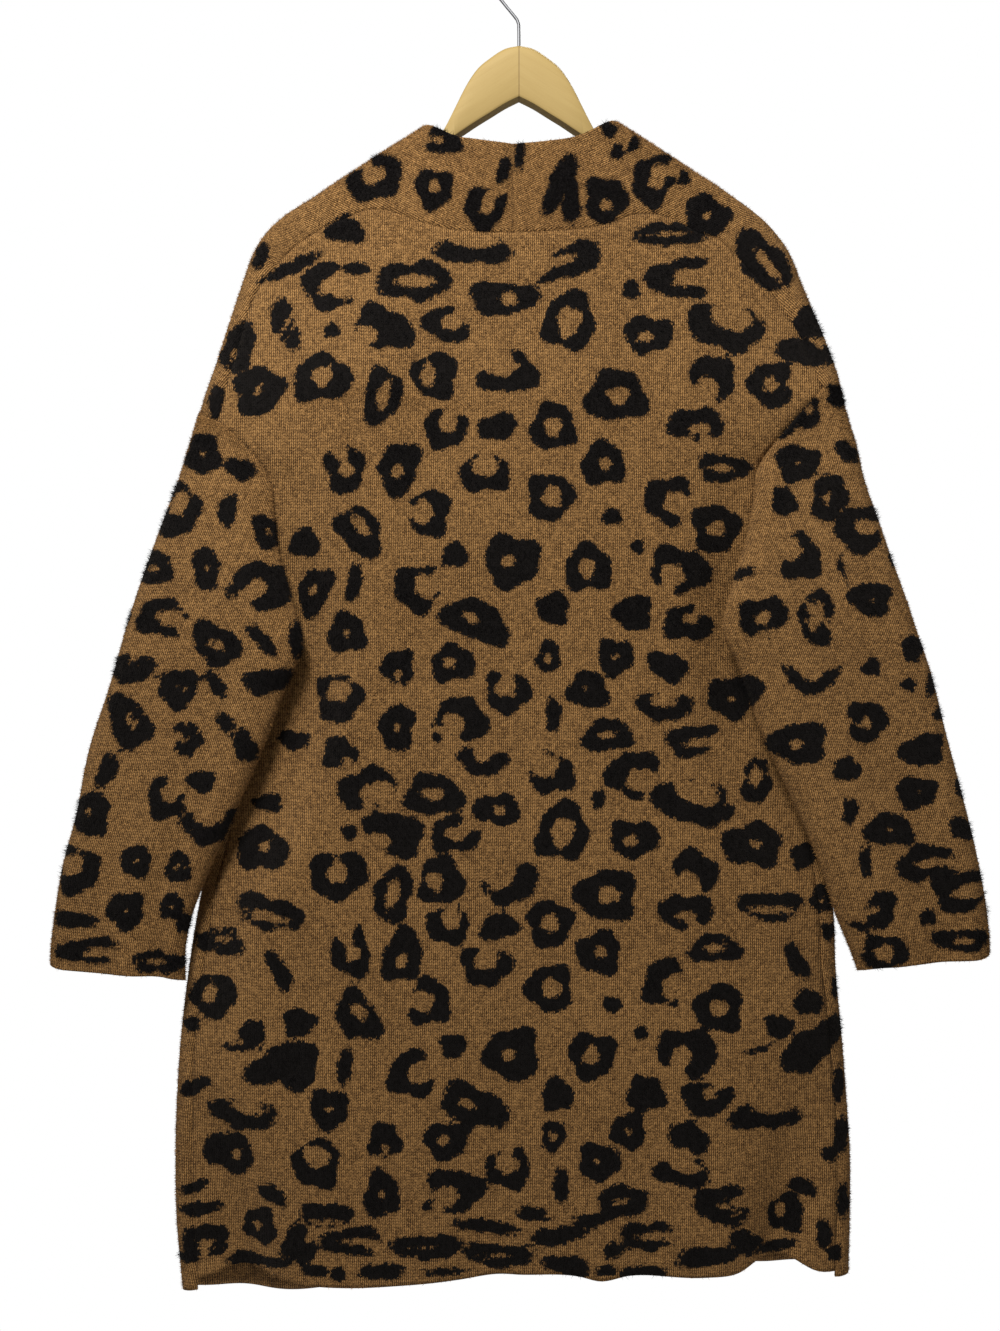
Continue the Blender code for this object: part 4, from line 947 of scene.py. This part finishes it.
class Number:
    """A number that varies over a surface. Ordinary sums on it add Math nodes."""

    def __init__(self, finish, socket):
        self.finish, self.socket = finish, socket

    def math(self, operation, *others):
        sockets = dict(enumerate((self, *others)))
        return Number(self.finish, self.finish.node("Math", {"operation": operation}, sockets))

    def __add__(self, other):
        return self.math("ADD", other)

    def __sub__(self, other):
        return self.math("SUBTRACT", other)

    def __rsub__(self, other):
        return self * -1 + other

    def __mul__(self, other):
        return self.math("MULTIPLY", other)

    def __truediv__(self, other):
        return self.math("DIVIDE", other)

    def __abs__(self):
        return self.math("ABSOLUTE")

    def floor(self):
        return self.math("FLOOR")

    def fraction(self):
        return self.math("FRACT")

    def between(self, low, high):
        """0 at low, 1 at high, and a soft step from one to the other."""
        settings = {"interpolation_type": "SMOOTHSTEP"}
        sockets = {"Value": self, "From Min": low, "From Max": high}
        return Number(self.finish, self.finish.node("MapRange", settings, sockets, "Result"))

    __radd__ = __add__
    __rmul__ = __mul__


class Finish:
    """A material being made. Every node comes from its one method."""

    def __init__(self, name):
        self.material = bpy.data.materials.new(name)
        self.material.use_nodes = True
        self.tree = self.material.node_tree
        self.tree.nodes.clear()

    def node(self, kind, settings, sockets, output=0):
        """A node of this kind, its settings first and then its sockets' values or links."""
        node = self.tree.nodes.new("ShaderNode" + kind)
        for key, value in settings.items():
            setattr(node, key, value)
        for key, value in sockets.items():
            value = value.socket if isinstance(value, Number) else value
            if isinstance(value, bpy.types.NodeSocket):
                self.tree.links.new(value, node.inputs[key])
            else:
                node.inputs[key].default_value = value
        return node.outputs[output] if node.outputs else node

    def number(self, kind, settings, sockets, output=0):
        return Number(self, self.node(kind, settings, sockets, output))

    def point(self, x, y, z=0.0):
        return self.node("CombineXYZ", {}, {"X": x, "Y": y, "Z": z})

    def parts(self, point):
        """The three numbers of a point."""
        split = {"Vector": point}
        return [self.number("SeparateXYZ", {}, split, k) for k in range(3)]

    def noise(self, place, scale, detail=2.0, rough=0.5, bend=0.0):
        sockets = {"Vector": place, "Scale": scale, "Detail": detail, "Roughness": rough,
                   "Distortion": bend}
        return self.number("TexNoise", {}, sockets, "Fac")

    def chance(self, place):
        """A steady random number for each whole place."""
        return self.number("TexWhiteNoise", {}, {"Vector": place}, "Value")

    def mixed(self, share, one, other):
        """One colour turned into the other by share."""
        one, other = (c if isinstance(c, bpy.types.NodeSocket) else (*c, 1) for c in (one, other))
        return self.node("Mix", {"data_type": "RGBA"}, {0: share, 6: one, 7: other}, 2)

    def bump(self, height, deep, strength=1.0):
        """A relief so many metres deep."""
        return self.node("Bump", {}, {"Height": height, "Distance": deep, "Strength": strength}, "Normal")

    def done(self, colour, roughness, normal=None, **fixed):
        """Closes the finish with one shader; fixed names sockets that are the same all over."""
        sockets = {"Base Color": colour, "Roughness": roughness}
        sockets.update({key.replace("_", " "): value for key, value in fixed.items()})
        if normal is not None:
            sockets["Normal"] = normal
        self.node("OutputMaterial", {}, {"Surface": self.node("BsdfPrincipled", {}, sockets)})
        return self.material


# A stitch's width and height, how far its legs slant, and how deep the knit's relief is.
WALE = 3.3 * MM
COURSE = 2.6 * MM
LEG_SLANT = 0.6
KNIT_RELIEF = 1.2 * MM
# The camel's dark end is its tone's dark end and also the painted shade at the bottom of the stitches'
# grooves.
CAMEL_DARK = (0.050, 0.021, 0.0065)
CAMEL_LIGHT = (0.440, 0.232, 0.078)
INK_DARK = (0.0020, 0.0015, 0.0014)
INK_LIGHT = (0.0085, 0.0068, 0.0066)
# How far the print's edge steps from stitch to stitch, how far it frays and how far it
# has spread, in millimetres.
STEPPED = 2.8
FRAYED = 1.3
GROW = 0.3


def stitches(finish):
    """Stockinette drawn on the panel's flat places: each stitch's cell, relief and groove."""
    flat = finish.node("UVMap", {"uv_map": "cloth"}, {}, "UV")
    u, v, _ = finish.parts(flat)
    drift = finish.noise(flat, 24.0, 2.0)
    wale = u / WALE + drift * 0.9
    course = v / COURSE + finish.noise(flat, 40.0, 2.0) * 1.4
    off_middle = abs(wale.fraction() - 0.5) * 2
    row = course + off_middle * LEG_SLANT
    leg = 1 - (off_middle * 2 - 1).math("POWER", 2.0)
    strand = 1 - (row.fraction() * 2 - 1).math("POWER", 2.0)
    cell = finish.point(wale.floor(), row.floor())
    return flat, cell, leg * (strand * 0.5 + 0.5)


def knit_finish(name, printed=True):
    """Brushed knit: camel stitches with painted shade in their grooves, the print in near-black mohair
    stepped stitch by stitch.
    """
    finish = Finish(name)
    flat, cell, stitch = stitches(finish)
    fibres = finish.noise(flat, 620.0, 3.0, 0.7, 1.2)
    cloud = finish.noise(flat, 9.0, 3.0)
    luck = finish.chance(cell)
    specks = fibres.between(0.3, 0.7)
    # The stitch relief in the tone is painted shade: the knit's colour darkens in the grooves between the
    # stitches' legs and rows, on the face and the reverse alike.
    tone = luck * 0.4 + cloud * 0.3 + specks * 0.75 + stitch * 1.05 - 0.89
    camel = finish.mixed(tone, CAMEL_DARK, CAMEL_LIGHT)
    relief = stitch * 0.75 + fibres * 0.45
    roughness = fibres * 0.1 + 0.85
    if not printed:
        return finish.done(camel, roughness, finish.bump(relief, KNIT_RELIEF),
                           Sheen_Weight=0.05, Sheen_Roughness=0.6, Specular_IOR_Level=0.1)
    depth = finish.number("Attribute", {"attribute_name": "spot"}, {}, "Fac")
    fray = finish.noise(flat, 300.0, 2.0)
    ragged = depth + (luck - 0.5) * STEPPED + (fray - 0.5) * FRAYED + GROW
    inked = ragged.between(-0.7, 0.7)
    ink = finish.mixed(fibres * luck, INK_DARK, INK_LIGHT)
    colour = finish.mixed(inked, camel, ink)
    relief = relief * (1 - inked * 0.45) + inked * (fibres * 0.9 + 0.25)
    return finish.done(colour, roughness, finish.bump(relief, KNIT_RELIEF),
                       Sheen_Weight=0.04, Sheen_Roughness=0.6, Sheen_Tint=(0.75, 0.6, 0.45, 1),
                       Specular_IOR_Level=0.1)


def nap_finish():
    """Single fibres: the colour of the stitch that each one stands on."""
    finish = Finish("brushed_nap")
    depth = finish.number("Attribute", {"attribute_name": "spot"}, {}, "Fac")
    shade = finish.number("Attribute", {"attribute_name": "shade"}, {}, "Fac")
    camel = finish.mixed(shade, CAMEL_DARK, CAMEL_LIGHT)
    ink = finish.mixed(shade, INK_DARK, INK_LIGHT)
    colour = finish.mixed(depth.between(-0.5, 0.5), camel, ink)
    return finish.done(colour, shade * 0.1 + 0.85, Sheen_Weight=0.04, Specular_IOR_Level=0.05)


BEECH_LIGHT = (0.40, 0.285, 0.105)
BEECH_DARK = (0.31, 0.205, 0.068)
JOINT_BROWN = (0.13, 0.075, 0.026)
STEEL_DARK = (0.17, 0.17, 0.175)
STEEL_LIGHT = (0.30, 0.30, 0.31)
FLOOR_DARK, FLOOR_LIGHT = (0.86, 0.86, 0.86), (0.9, 0.9, 0.9)


def wood_finish():
    """Pale dull beech: long grain that follows each arm, with short flecks."""
    finish = Finish("pale_beech")
    place = finish.node("TexCoord", {}, {}, "Object")
    x, y, z = finish.parts(place)
    # the grain runs down each arm from the joint at the middle
    along = abs(x) * 0.85 - z * 0.53
    across = z * 0.85 + abs(x) * 0.53
    grain = finish.noise(finish.point(along * 9, across * 150, y * 60), 1.0, 4.0, 0.6, 0.4)
    fleck = finish.noise(finish.point(along * 60, across * 900, y * 400), 1.0, 2.0)
    bands = grain * 0.75 + fleck.between(0.55, 0.75) * 0.18
    wood = finish.mixed(bands, BEECH_LIGHT, BEECH_DARK)
    joint = abs(x).between(0.0009, 0.0003)
    colour = finish.mixed(joint * 0.5, wood, JOINT_BROWN)
    relief = bands + joint * -0.8
    return finish.done(colour, grain * 0.12 + 0.55, finish.bump(relief, 0.2 * MM, 0.4),
                       Specular_IOR_Level=0.2)


def steel_finish():
    finish = Finish("drawn_steel")
    place = finish.node("TexCoord", {}, {}, "Object")
    worn = finish.noise(place, 240.0, 3.0)
    colour = finish.mixed(worn, STEEL_DARK, STEEL_LIGHT)
    return finish.done(colour, worn * 0.2 + 0.42, finish.bump(worn, 0.05 * MM, 0.4), Metallic=1.0)


# The wooden hanger: its upper and lower edges and how thick it is, out from the centre.
HANGER = table(
    "out top bottom half_thick",
    [(0, 76, 122, 10), (12, 78.5, 128, 10), (25, 86.5, 136, 10), (38, 98, 144, 10),
     (47, 112, 150, 10), (56, 130, 156, 9.5), (67, 151, 165, 8), (80, 167, 178, 6.5),
     (108, 182, 195, 7.5), (150, 206, 220, 7), (190, 232, 244, 6.5), (206, 246, 253, 5)],
)
# Half of one cross-section, from the top round to the underside.
HANGER_SECTION = table(
    "wide tall", [(0, 1), (0.55, 0.97), (0.9, 0.85), (1, 0.6), (1, -0.9), (0.92, -1), (0, -1)]
)


def add(name, data, *materials):
    piece = bpy.data.objects.new(name, data)
    bpy.context.scene.collection.objects.link(piece)
    for material in materials:
        data.materials.append(material)
    return piece


def mesh_of(name, bm):
    mesh = bpy.data.meshes.new(name)
    bm.to_mesh(mesh)
    bm.free()
    mesh.shade_smooth()
    return mesh


def read(items, field, width, kind=float):
    """One field of all of a mesh's points, corners or faces."""
    values = np.empty(len(items) * width, kind)
    items.foreach_get(field, values)
    return values.reshape(-1, width) if width > 1 else values


def woven_mesh(name, points, places, depth):
    """A mesh grid with the given points, its flat places as UVs and the print's depth."""
    rows, columns = points.shape[:2]
    bm = bmesh.new()
    bmesh.ops.create_grid(bm, x_segments=columns - 1, y_segments=rows - 1, size=0.5)
    mesh = mesh_of(name, bm)
    at = read(mesh.vertices, "co", 3) + 0.5
    column = np.rint(at[:, 0] * (columns - 1)).astype(int)
    row = np.rint(at[:, 1] * (rows - 1)).astype(int)
    mesh.vertices.foreach_set("co", points[row, column].ravel())
    corner = read(mesh.loops, "vertex_index", 1, int)
    mesh.uv_layers.new(name="cloth").data.foreach_set("uv", places[row, column][corner].ravel())
    mesh.attributes.new("spot", "FLOAT", "POINT").data.foreach_set("value", depth[row, column])
    mesh.update()
    return mesh


def area_of(points):
    """The area of a grid of points, in square metres."""
    one = np.cross(points[1:, 1:] - points[:-1, :-1], points[1:, :-1] - points[:-1, 1:])
    return float(np.linalg.norm(one, axis=-1).sum() / 2)


def cloth(name, points, places, depth, face, reverse):
    """A knitted panel on its solid's form: face outwards, its plainer reverse inside."""
    piece = add(name + "_cloth", woven_mesh(name, points, places, depth), face, reverse)
    wall = piece.modifiers.new("wall", "SOLIDIFY")
    wall.thickness = WALL * MM
    wall.offset = 0
    wall.material_offset = 1
    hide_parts(name)
    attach(piece, "root")
    return piece


def loose_triangles(name, count):
    """At least so many separate triangles, to be placed one by one."""
    side = math.ceil(math.sqrt(count / 2))
    bm = bmesh.new()
    bmesh.ops.create_grid(bm, x_segments=side, y_segments=side, size=0.5)
    bmesh.ops.triangulate(bm, faces=bm.faces)
    bmesh.ops.split_edges(bm, edges=bm.edges)
    return mesh_of(name, bm)


# A fibre's half width, its lean from upright in radians and its length in millimetres.
NAP_BLADE = 0.22 * MM
NAP_LIE = (0.45, 1.35)
NAP_LONG = {"camel": (1.4, 3.2), "ink": (2.4, 6.0)}
NAP_COUNT = {"back": 130000, "front": 110000, "sleeve": 62000}


def nap(name, points, depth, material, seed):
    """The brushed nap of a panel: short fibres, longer and shaggier on the print."""
    chance = np.random.default_rng(seed)
    mesh = loose_triangles(name + "_nap", NAP_COUNT[name.split("_")[0]])
    count = len(mesh.polygons)
    rows, columns = points.shape[:2]
    row, column = chance.uniform(0, rows - 1.001, count), chance.uniform(0, columns - 1.001, count)
    i, j = row.astype(int), column.astype(int)
    s, t = (row - i)[:, None], (column - j)[:, None]

    def blended(grid):
        grid = grid if grid.ndim == 3 else grid[..., None]
        upper = grid[i, j] * (1 - t) + grid[i, j + 1] * t
        lower = grid[i + 1, j] * (1 - t) + grid[i + 1, j + 1] * t
        return upper * (1 - s) + lower * s

    along, down = np.gradient(points, axis=1), np.gradient(points, axis=0)
    normal = np.cross(along, down)
    normal = blended(normal / np.linalg.norm(normal, axis=-1, keepdims=True))
    along = blended(along / np.linalg.norm(along, axis=-1, keepdims=True))
    other = np.cross(normal, along)
    inked = blended(depth)[:, 0] > 0
    turn, lie = chance.uniform(0, 2 * np.pi, count)[:, None], chance.uniform(*NAP_LIE, count)[:, None]
    long_ink, long_camel = (chance.uniform(*NAP_LONG[kind], count) for kind in ("ink", "camel"))
    long = np.where(inked, long_ink, long_camel)
    flat = along * np.cos(turn) + other * np.sin(turn)
    aside = along * -np.sin(turn) + other * np.cos(turn)
    root = blended(points) + normal * WALL * MM * 0.45
    tip = root + (normal * np.cos(lie) + flat * np.sin(lie)) * long[:, None] * MM
    blade = aside * NAP_BLADE
    corners = np.stack([root - blade, root + blade, tip], 1).reshape(-1, 3)
    place = np.empty((len(mesh.vertices), 3))
    owner = read(mesh.loops, "vertex_index", 1, int)
    place[owner] = corners
    mesh.vertices.foreach_set("co", place.ravel())
    for attribute, value in (("spot", inked * 2.0 - 1), ("shade", chance.uniform(0, 1, count))):
        at_point = np.empty(len(place))
        at_point[owner] = np.repeat(value, 3)
        mesh.attributes.new(attribute, "FLOAT", "POINT").data.foreach_set("value", at_point)
    mesh.update()
    piece = add(name + "_nap", mesh, material)
    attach(piece, "root")
    return piece


# How far round a fold the print of one face runs on to the other, and how far the hidden
# face's own motifs keep off the fold and off those, and run past it.
OVER_FOLD = 45
CLEAR_OF_FOLD = 28
MOTIFS_APART = 43
HIDDEN_OVER = 20
# How far the print is moved where it comes again: up to the shoulders (kept above
# HIGHER_TO), across on the fronts' faces, and across and down on the sleeves' fronts.
HIGHER_BY = 427
HIGHER_TO = 235
FRONT_SHIFT = 12
SLEEVE_SHIFT = (-6, 14)
# Points across a front and across half a sleeve, and a place that no motif reaches.
FRONT_COLUMNS = 80
SLEEVE_COLUMNS = 36
OFF_CHART = 9999.0


def chosen(motifs, which):
    return {name: column[which] for name, column in motifs.items()}


def turned_over(motifs, x=0.0, drop=0.0):
    """The motifs as they lie on the other face, moved about a little."""
    new = dict(motifs)
    new["across"], new["turn"] = x - motifs["across"], -motifs["turn"]
    new["hole_across"], new["gap"] = -motifs["hole_across"], 180 - motifs["gap"]
    new["down"] = motifs["down"] + drop
    return new


def apart(motifs, across, down):
    """Which motifs lie clear of the given places."""
    gap = np.hypot(motifs["across"][:, None] - across[None, :], motifs["down"][:, None] - down[None, :])
    return (gap > MOTIFS_APART).all(1)


ROSETTES, COLLAR = motifs_of(repeated(BACK_PRINT)), motifs_of(COLLAR_PRINT)
LOWER, SEAM = motifs_of(LOWER_PRINT), motifs_of(SEAM_PRINT)
LOWER["tall"] *= np.where(LOWER_PRINT["down"] > HEM_FROM, HEM_HEAVIER, 1)
BACK_MOTIFS = joined(ROSETTES, LOWER, SEAM)
HIGHER = dict(ROSETTES, down=ROSETTES["down"] - HIGHER_BY)
ALL_OVER = joined(BACK_MOTIFS, chosen(HIGHER, HIGHER["down"] < HIGHER_TO))


def front_print(side, points, flat):
    """The print's depth on a front: its back part in world places, its face in flat ones."""

    def from_fold(across, down):
        """The nearest place on the fold, and the signed distance beyond it."""
        foot, _, distance = side.nearest(across, down)
        beside = smooth(side.side_fold, "out", down)
        low = down > side.mid_arm
        fold_x, fold_drop = np.where(low, beside, foot[..., 0]), np.where(low, down, foot[..., 1])
        return fold_x, fold_drop, np.where(low, across - beside, distance)

    across, down = flat[..., 0], flat[..., 1]
    fold_x, fold_drop, beyond = from_fold(across, down)
    out, drop = side.sign * points[..., 0] / MM, -points[..., 2] / MM
    x = np.where(beyond > 0, out, np.where(beyond > -OVER_FOLD, 2 * fold_x - across, OFF_CHART))
    drop = np.where(beyond > 0, drop, 2 * fold_drop - down)
    seen_motifs = joined(COLLAR, LOWER, SEAM)
    seen = spot_depth(seen_motifs, side.sign * x, drop)
    face = turned_over(ALL_OVER, x=side.sign * FRONT_SHIFT)
    _, _, centre_beyond = from_fold(side.sign * face["across"], face["down"])
    face = chosen(face, centre_beyond < -CLEAR_OF_FOLD)
    near_x, near_drop, near_beyond = from_fold(side.sign * seen_motifs["across"], seen_motifs["down"])
    near = np.abs(near_beyond) < OVER_FOLD
    mirror_x = side.sign * (2 * near_x - side.sign * seen_motifs["across"])[near]
    face = chosen(face, apart(face, mirror_x, (2 * near_drop - seen_motifs["down"])[near]))
    hidden_x = np.where(beyond < HIDDEN_OVER, across, OFF_CHART)
    return np.maximum(seen, spot_depth(face, side.sign * hidden_x, down))


def sleeve_print(side, points, arc):
    """The print's depth on a sleeve, charted for its back and turned over for its front."""
    half = points.shape[1] // 2
    x, drop = side.sign * points[..., 0] / MM, -points[..., 2] / MM
    fold = x[:, half : half + 1]
    at_back = arc <= 0
    seen_motifs = motifs_of(SLEEVE_PRINT[side.name])
    seen_x = np.where(at_back, x, np.where(arc < OVER_FOLD, fold + arc, OFF_CHART))
    seen = spot_depth(seen_motifs, side.sign * seen_x, drop)
    other = motifs_of(SLEEVE_PRINT["right" if side.name == "left" else "left"])
    face = turned_over(other, x=side.sign * SLEEVE_SHIFT[0], drop=SLEEVE_SHIFT[1])
    fold_by = np.interp(face["down"], drop[:, half], fold[:, 0])
    face = chosen(face, side.sign * face["across"] < fold_by - CLEAR_OF_FOLD)
    fold_at = np.interp(seen_motifs["down"], drop[:, half], fold[:, 0])
    near = side.sign * seen_motifs["across"] > fold_at - OVER_FOLD
    mirror_x = side.sign * (2 * fold_at - side.sign * seen_motifs["across"])[near]
    face = chosen(face, apart(face, mirror_x, seen_motifs["down"][near]))
    hidden_x = np.where(at_back, np.where(arc > -HIDDEN_OVER, fold - arc, OFF_CHART), x)
    return np.maximum(seen, spot_depth(face, side.sign * hidden_x, drop))


def round_arc(points):
    """Millimetres round a sleeve from its outer fold, less than 0 on the back."""
    half = points.shape[1] // 2
    step = np.linalg.norm(np.diff(points, axis=1), axis=-1) / MM
    arc = np.concatenate([np.zeros((len(points), 1)), np.cumsum(step, axis=1)], axis=1)
    return arc - arc[:, half : half + 1]


def sleeve_places(points, arc):
    """Flat places on a sleeve: round it from the outer fold, and down it."""
    half = points.shape[1] // 2
    step = np.linalg.norm(np.diff(points[:, half // 2 : -half // 2], axis=0), axis=-1).mean(1)
    down = np.concatenate([[0], np.cumsum(step)])
    return np.stack([arc * MM, np.broadcast_to(-down[:, None], arc.shape)], -1)


FACE, REVERSE, NAP = knit_finish("leopard_knit"), knit_finish("knit_reverse", printed=False), nap_finish()


def add_cloth():
    grids, flats = sewn_pieces(FRONT_COLUMNS, SLEEVE_COLUMNS)
    for seed, (name, points) in enumerate(grids.items()):
        kind, _, hand = name.partition("_")
        if kind == "back":
            places = points[..., [0, 2]]
            depth = spot_depth(BACK_MOTIFS, points[..., 0] / MM, -points[..., 2] / MM)
        elif kind == "front":
            side = SIDES[hand]
            places = flats[name] * (side.sign * MM, -MM)
            depth = front_print(side, points, flats[name])
        else:
            side = SIDES[hand]
            arc = round_arc(points)
            depth, places = sleeve_print(side, points, arc), sleeve_places(points, arc)
        if hand == "right":
            points, places, depth = points[:, ::-1], places[:, ::-1], depth[:, ::-1]
        piece = cloth(name, points, places, depth, FACE, REVERSE)
        fuzz = nap(name, points, depth, NAP, seed)
        wide, long = np.ptp(places.reshape(-1, 2), axis=0)
        min(area_of(points), float(wide * long))


# The hanger's cross-sections are this far apart.
RING_STEP = 3.0


def hanger_points():
    """The hanger's cross-sections, close together, with a crisp flat underside."""
    tip = HANGER["out"][-1]
    outs = np.linspace(-tip, tip, 2 * round(tip / RING_STEP) + 1)
    wide = np.append(HANGER_SECTION["wide"], -HANGER_SECTION["wide"][-2:0:-1])
    tall = np.append(HANGER_SECTION["tall"], HANGER_SECTION["tall"][-2:0:-1])
    rings = []
    for out in outs:
        reach = abs(out)
        top, bottom = smooth(HANGER, "top", reach, "out"), smooth(HANGER, "bottom", reach, "out")
        thick = smooth(HANGER, "half_thick", reach, "out")
        bend = -HANGER_BEND * (reach / HANGER_SPAN) ** 2
        x = np.full(len(wide), out)
        ring = [x, bend + thick * wide, -(top + bottom) / 2 + (bottom - top) / 2 * tall]
        rings.append(np.stack(ring, -1))
    return np.array(rings) * MM


def add_hanger():
    rings = hanger_points()
    closed = np.concatenate([rings, rings[:, :1]], axis=1)
    rows, columns = closed.shape[:2]
    bm = bmesh.new()
    bmesh.ops.create_grid(bm, x_segments=columns - 1, y_segments=rows - 1, size=0.5)
    for vert in bm.verts:
        column = round((vert.co.x + 0.5) * (columns - 1))
        vert.co = closed[round((vert.co.y + 0.5) * (rows - 1)), column]
    bmesh.ops.remove_doubles(bm, verts=bm.verts, dist=1e-6)
    bmesh.ops.holes_fill(bm, edges=bm.edges, sides=0)
    bmesh.ops.recalc_face_normals(bm, faces=bm.faces)
    sharp = [edge for edge in bm.edges if len(edge.link_faces) == 2 and edge.calc_face_angle() > 0.7]
    bmesh.ops.bevel(bm, geom=sharp, offset=0.7 * MM, segments=2, profile=0.5, affect="EDGES",
                    clamp_overlap=True, material=-1)
    piece = add("wood_hanger", mesh_of("wood_hanger", bm), wood_finish())
    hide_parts("hanger")
    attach(piece, "root")


# Half the wire's thickness, the radius of its bend, the stem's points out and down, and
# where the bend starts and ends.
WIRE = 1.4
HOOK_RADIUS = 21.4
STEM = [(0, 79), (0, 66), (0.2, 56), (1.6, 52), (4.5, 48.2), (7.6, 44.4), (10.5, 41)]
HOOK_START = math.radians(-45)
HOOK_END = math.radians(200)
HOOK_STEPS = 48


def add_hook():
    """The wire hook: a straight stem that sweeps to the left and over the rail."""
    route = list(STEM)
    for step in range(HOOK_STEPS + 1):
        turn = HOOK_START + (HOOK_END - HOOK_START) * step / HOOK_STEPS
        height = HOOK_RADIUS * math.sin(turn)
        route.append((HOOK_RADIUS * math.cos(turn), HOOK_RADIUS - WIRE - height))
    curve = bpy.data.curves.new("steel_hook", "CURVE")
    curve.dimensions = "3D"
    curve.bevel_depth = WIRE * MM
    curve.bevel_resolution = 4
    curve.use_fill_caps = True
    wire = curve.splines.new("POLY")
    wire.points.add(len(route) - 1)
    for point, (out, drop) in zip(wire.points, route):
        point.co = (out * MM, 0, -drop * MM, 1)
    wire.use_smooth = True
    piece = add("steel_hook", curve, steel_finish())
    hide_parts("hook")
    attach(piece, "root")


add_cloth()
add_hanger()
add_hook()

# The floor's place below the rail in millimetres, and its width in metres.
FLOOR_DROP = 1900
FLOOR_WIDE = 3.6


def add_stage():
    """A plain pale floor well below the hem, in a white room."""
    bm = bmesh.new()
    bmesh.ops.create_grid(bm, x_segments=8, y_segments=8, size=FLOOR_WIDE / 2)
    bmesh.ops.translate(bm, verts=bm.verts, vec=(0, 0, -FLOOR_DROP * MM))
    finish = Finish("pale_floor")
    place = finish.node("TexCoord", {}, {}, "Object")
    tone = finish.noise(place, 3.0)
    colour = finish.mixed(tone, FLOOR_DARK, FLOOR_LIGHT)
    floor = add("studio_floor", mesh_of("studio_floor", bm), finish.done(colour, tone * 0.1 + 0.6))


def add_light(name, place, aim, size, power):
    lamp = bpy.data.lights.new(name, "AREA")
    lamp.shape = "DISK"
    lamp.size = size
    lamp.energy = power
    piece = bpy.data.objects.new(name, lamp)
    piece.location = place
    away = np.array(place) - np.array(aim)
    flat = math.hypot(away[0], away[1])
    piece.rotation_euler = (math.atan2(flat, away[2]), 0, math.atan2(away[0], -away[1]))
    bpy.context.scene.collection.objects.link(piece)


def add_room(seen, cast):
    """A white room: bright where it is seen, dimmer as light on the cloth."""
    world = bpy.data.worlds.new("white_room")
    world.use_nodes = True
    bpy.context.scene.world = world
    nodes, links = world.node_tree.nodes, world.node_tree.links
    background = nodes["Background"]
    background.inputs["Color"].default_value = (1, 1, 1, 1)
    ray = nodes.new("ShaderNodeLightPath")
    level = nodes.new("ShaderNodeMapRange")
    links.new(ray.outputs["Is Camera Ray"], level.inputs["Value"])
    level.inputs["To Min"].default_value = cast
    level.inputs["To Max"].default_value = seen
    links.new(level.outputs["Result"], background.inputs["Strength"])


CAMERA_PLACE = (0.0167, 1.62, -0.6207)
CAMERA_LENS = 49.74
SENSOR = 36.0


def add_camera():
    """Level, square to the cardigan's back."""
    lens = bpy.data.cameras.new("camera")
    lens.sensor_fit = "VERTICAL"
    lens.sensor_height = SENSOR
    lens.lens = CAMERA_LENS
    camera = bpy.data.objects.new("camera", lens)
    camera.location = CAMERA_PLACE
    camera.rotation_euler = (math.pi / 2, 0, math.pi)
    bpy.context.scene.collection.objects.link(camera)
    bpy.context.scene.camera = camera


add_stage()
add_light("key", place=(0.4, 1.15, 0.7), aim=(0, 0, -0.45), size=0.5, power=41)
add_light("front_fill", place=(-0.4, -1.9, 0.9), aim=(0, 0, -0.6), size=1.2, power=33)
add_room(seen=1.0, cast=0.2)
add_camera()
bpy.context.scene.view_settings.view_transform = "Standard"
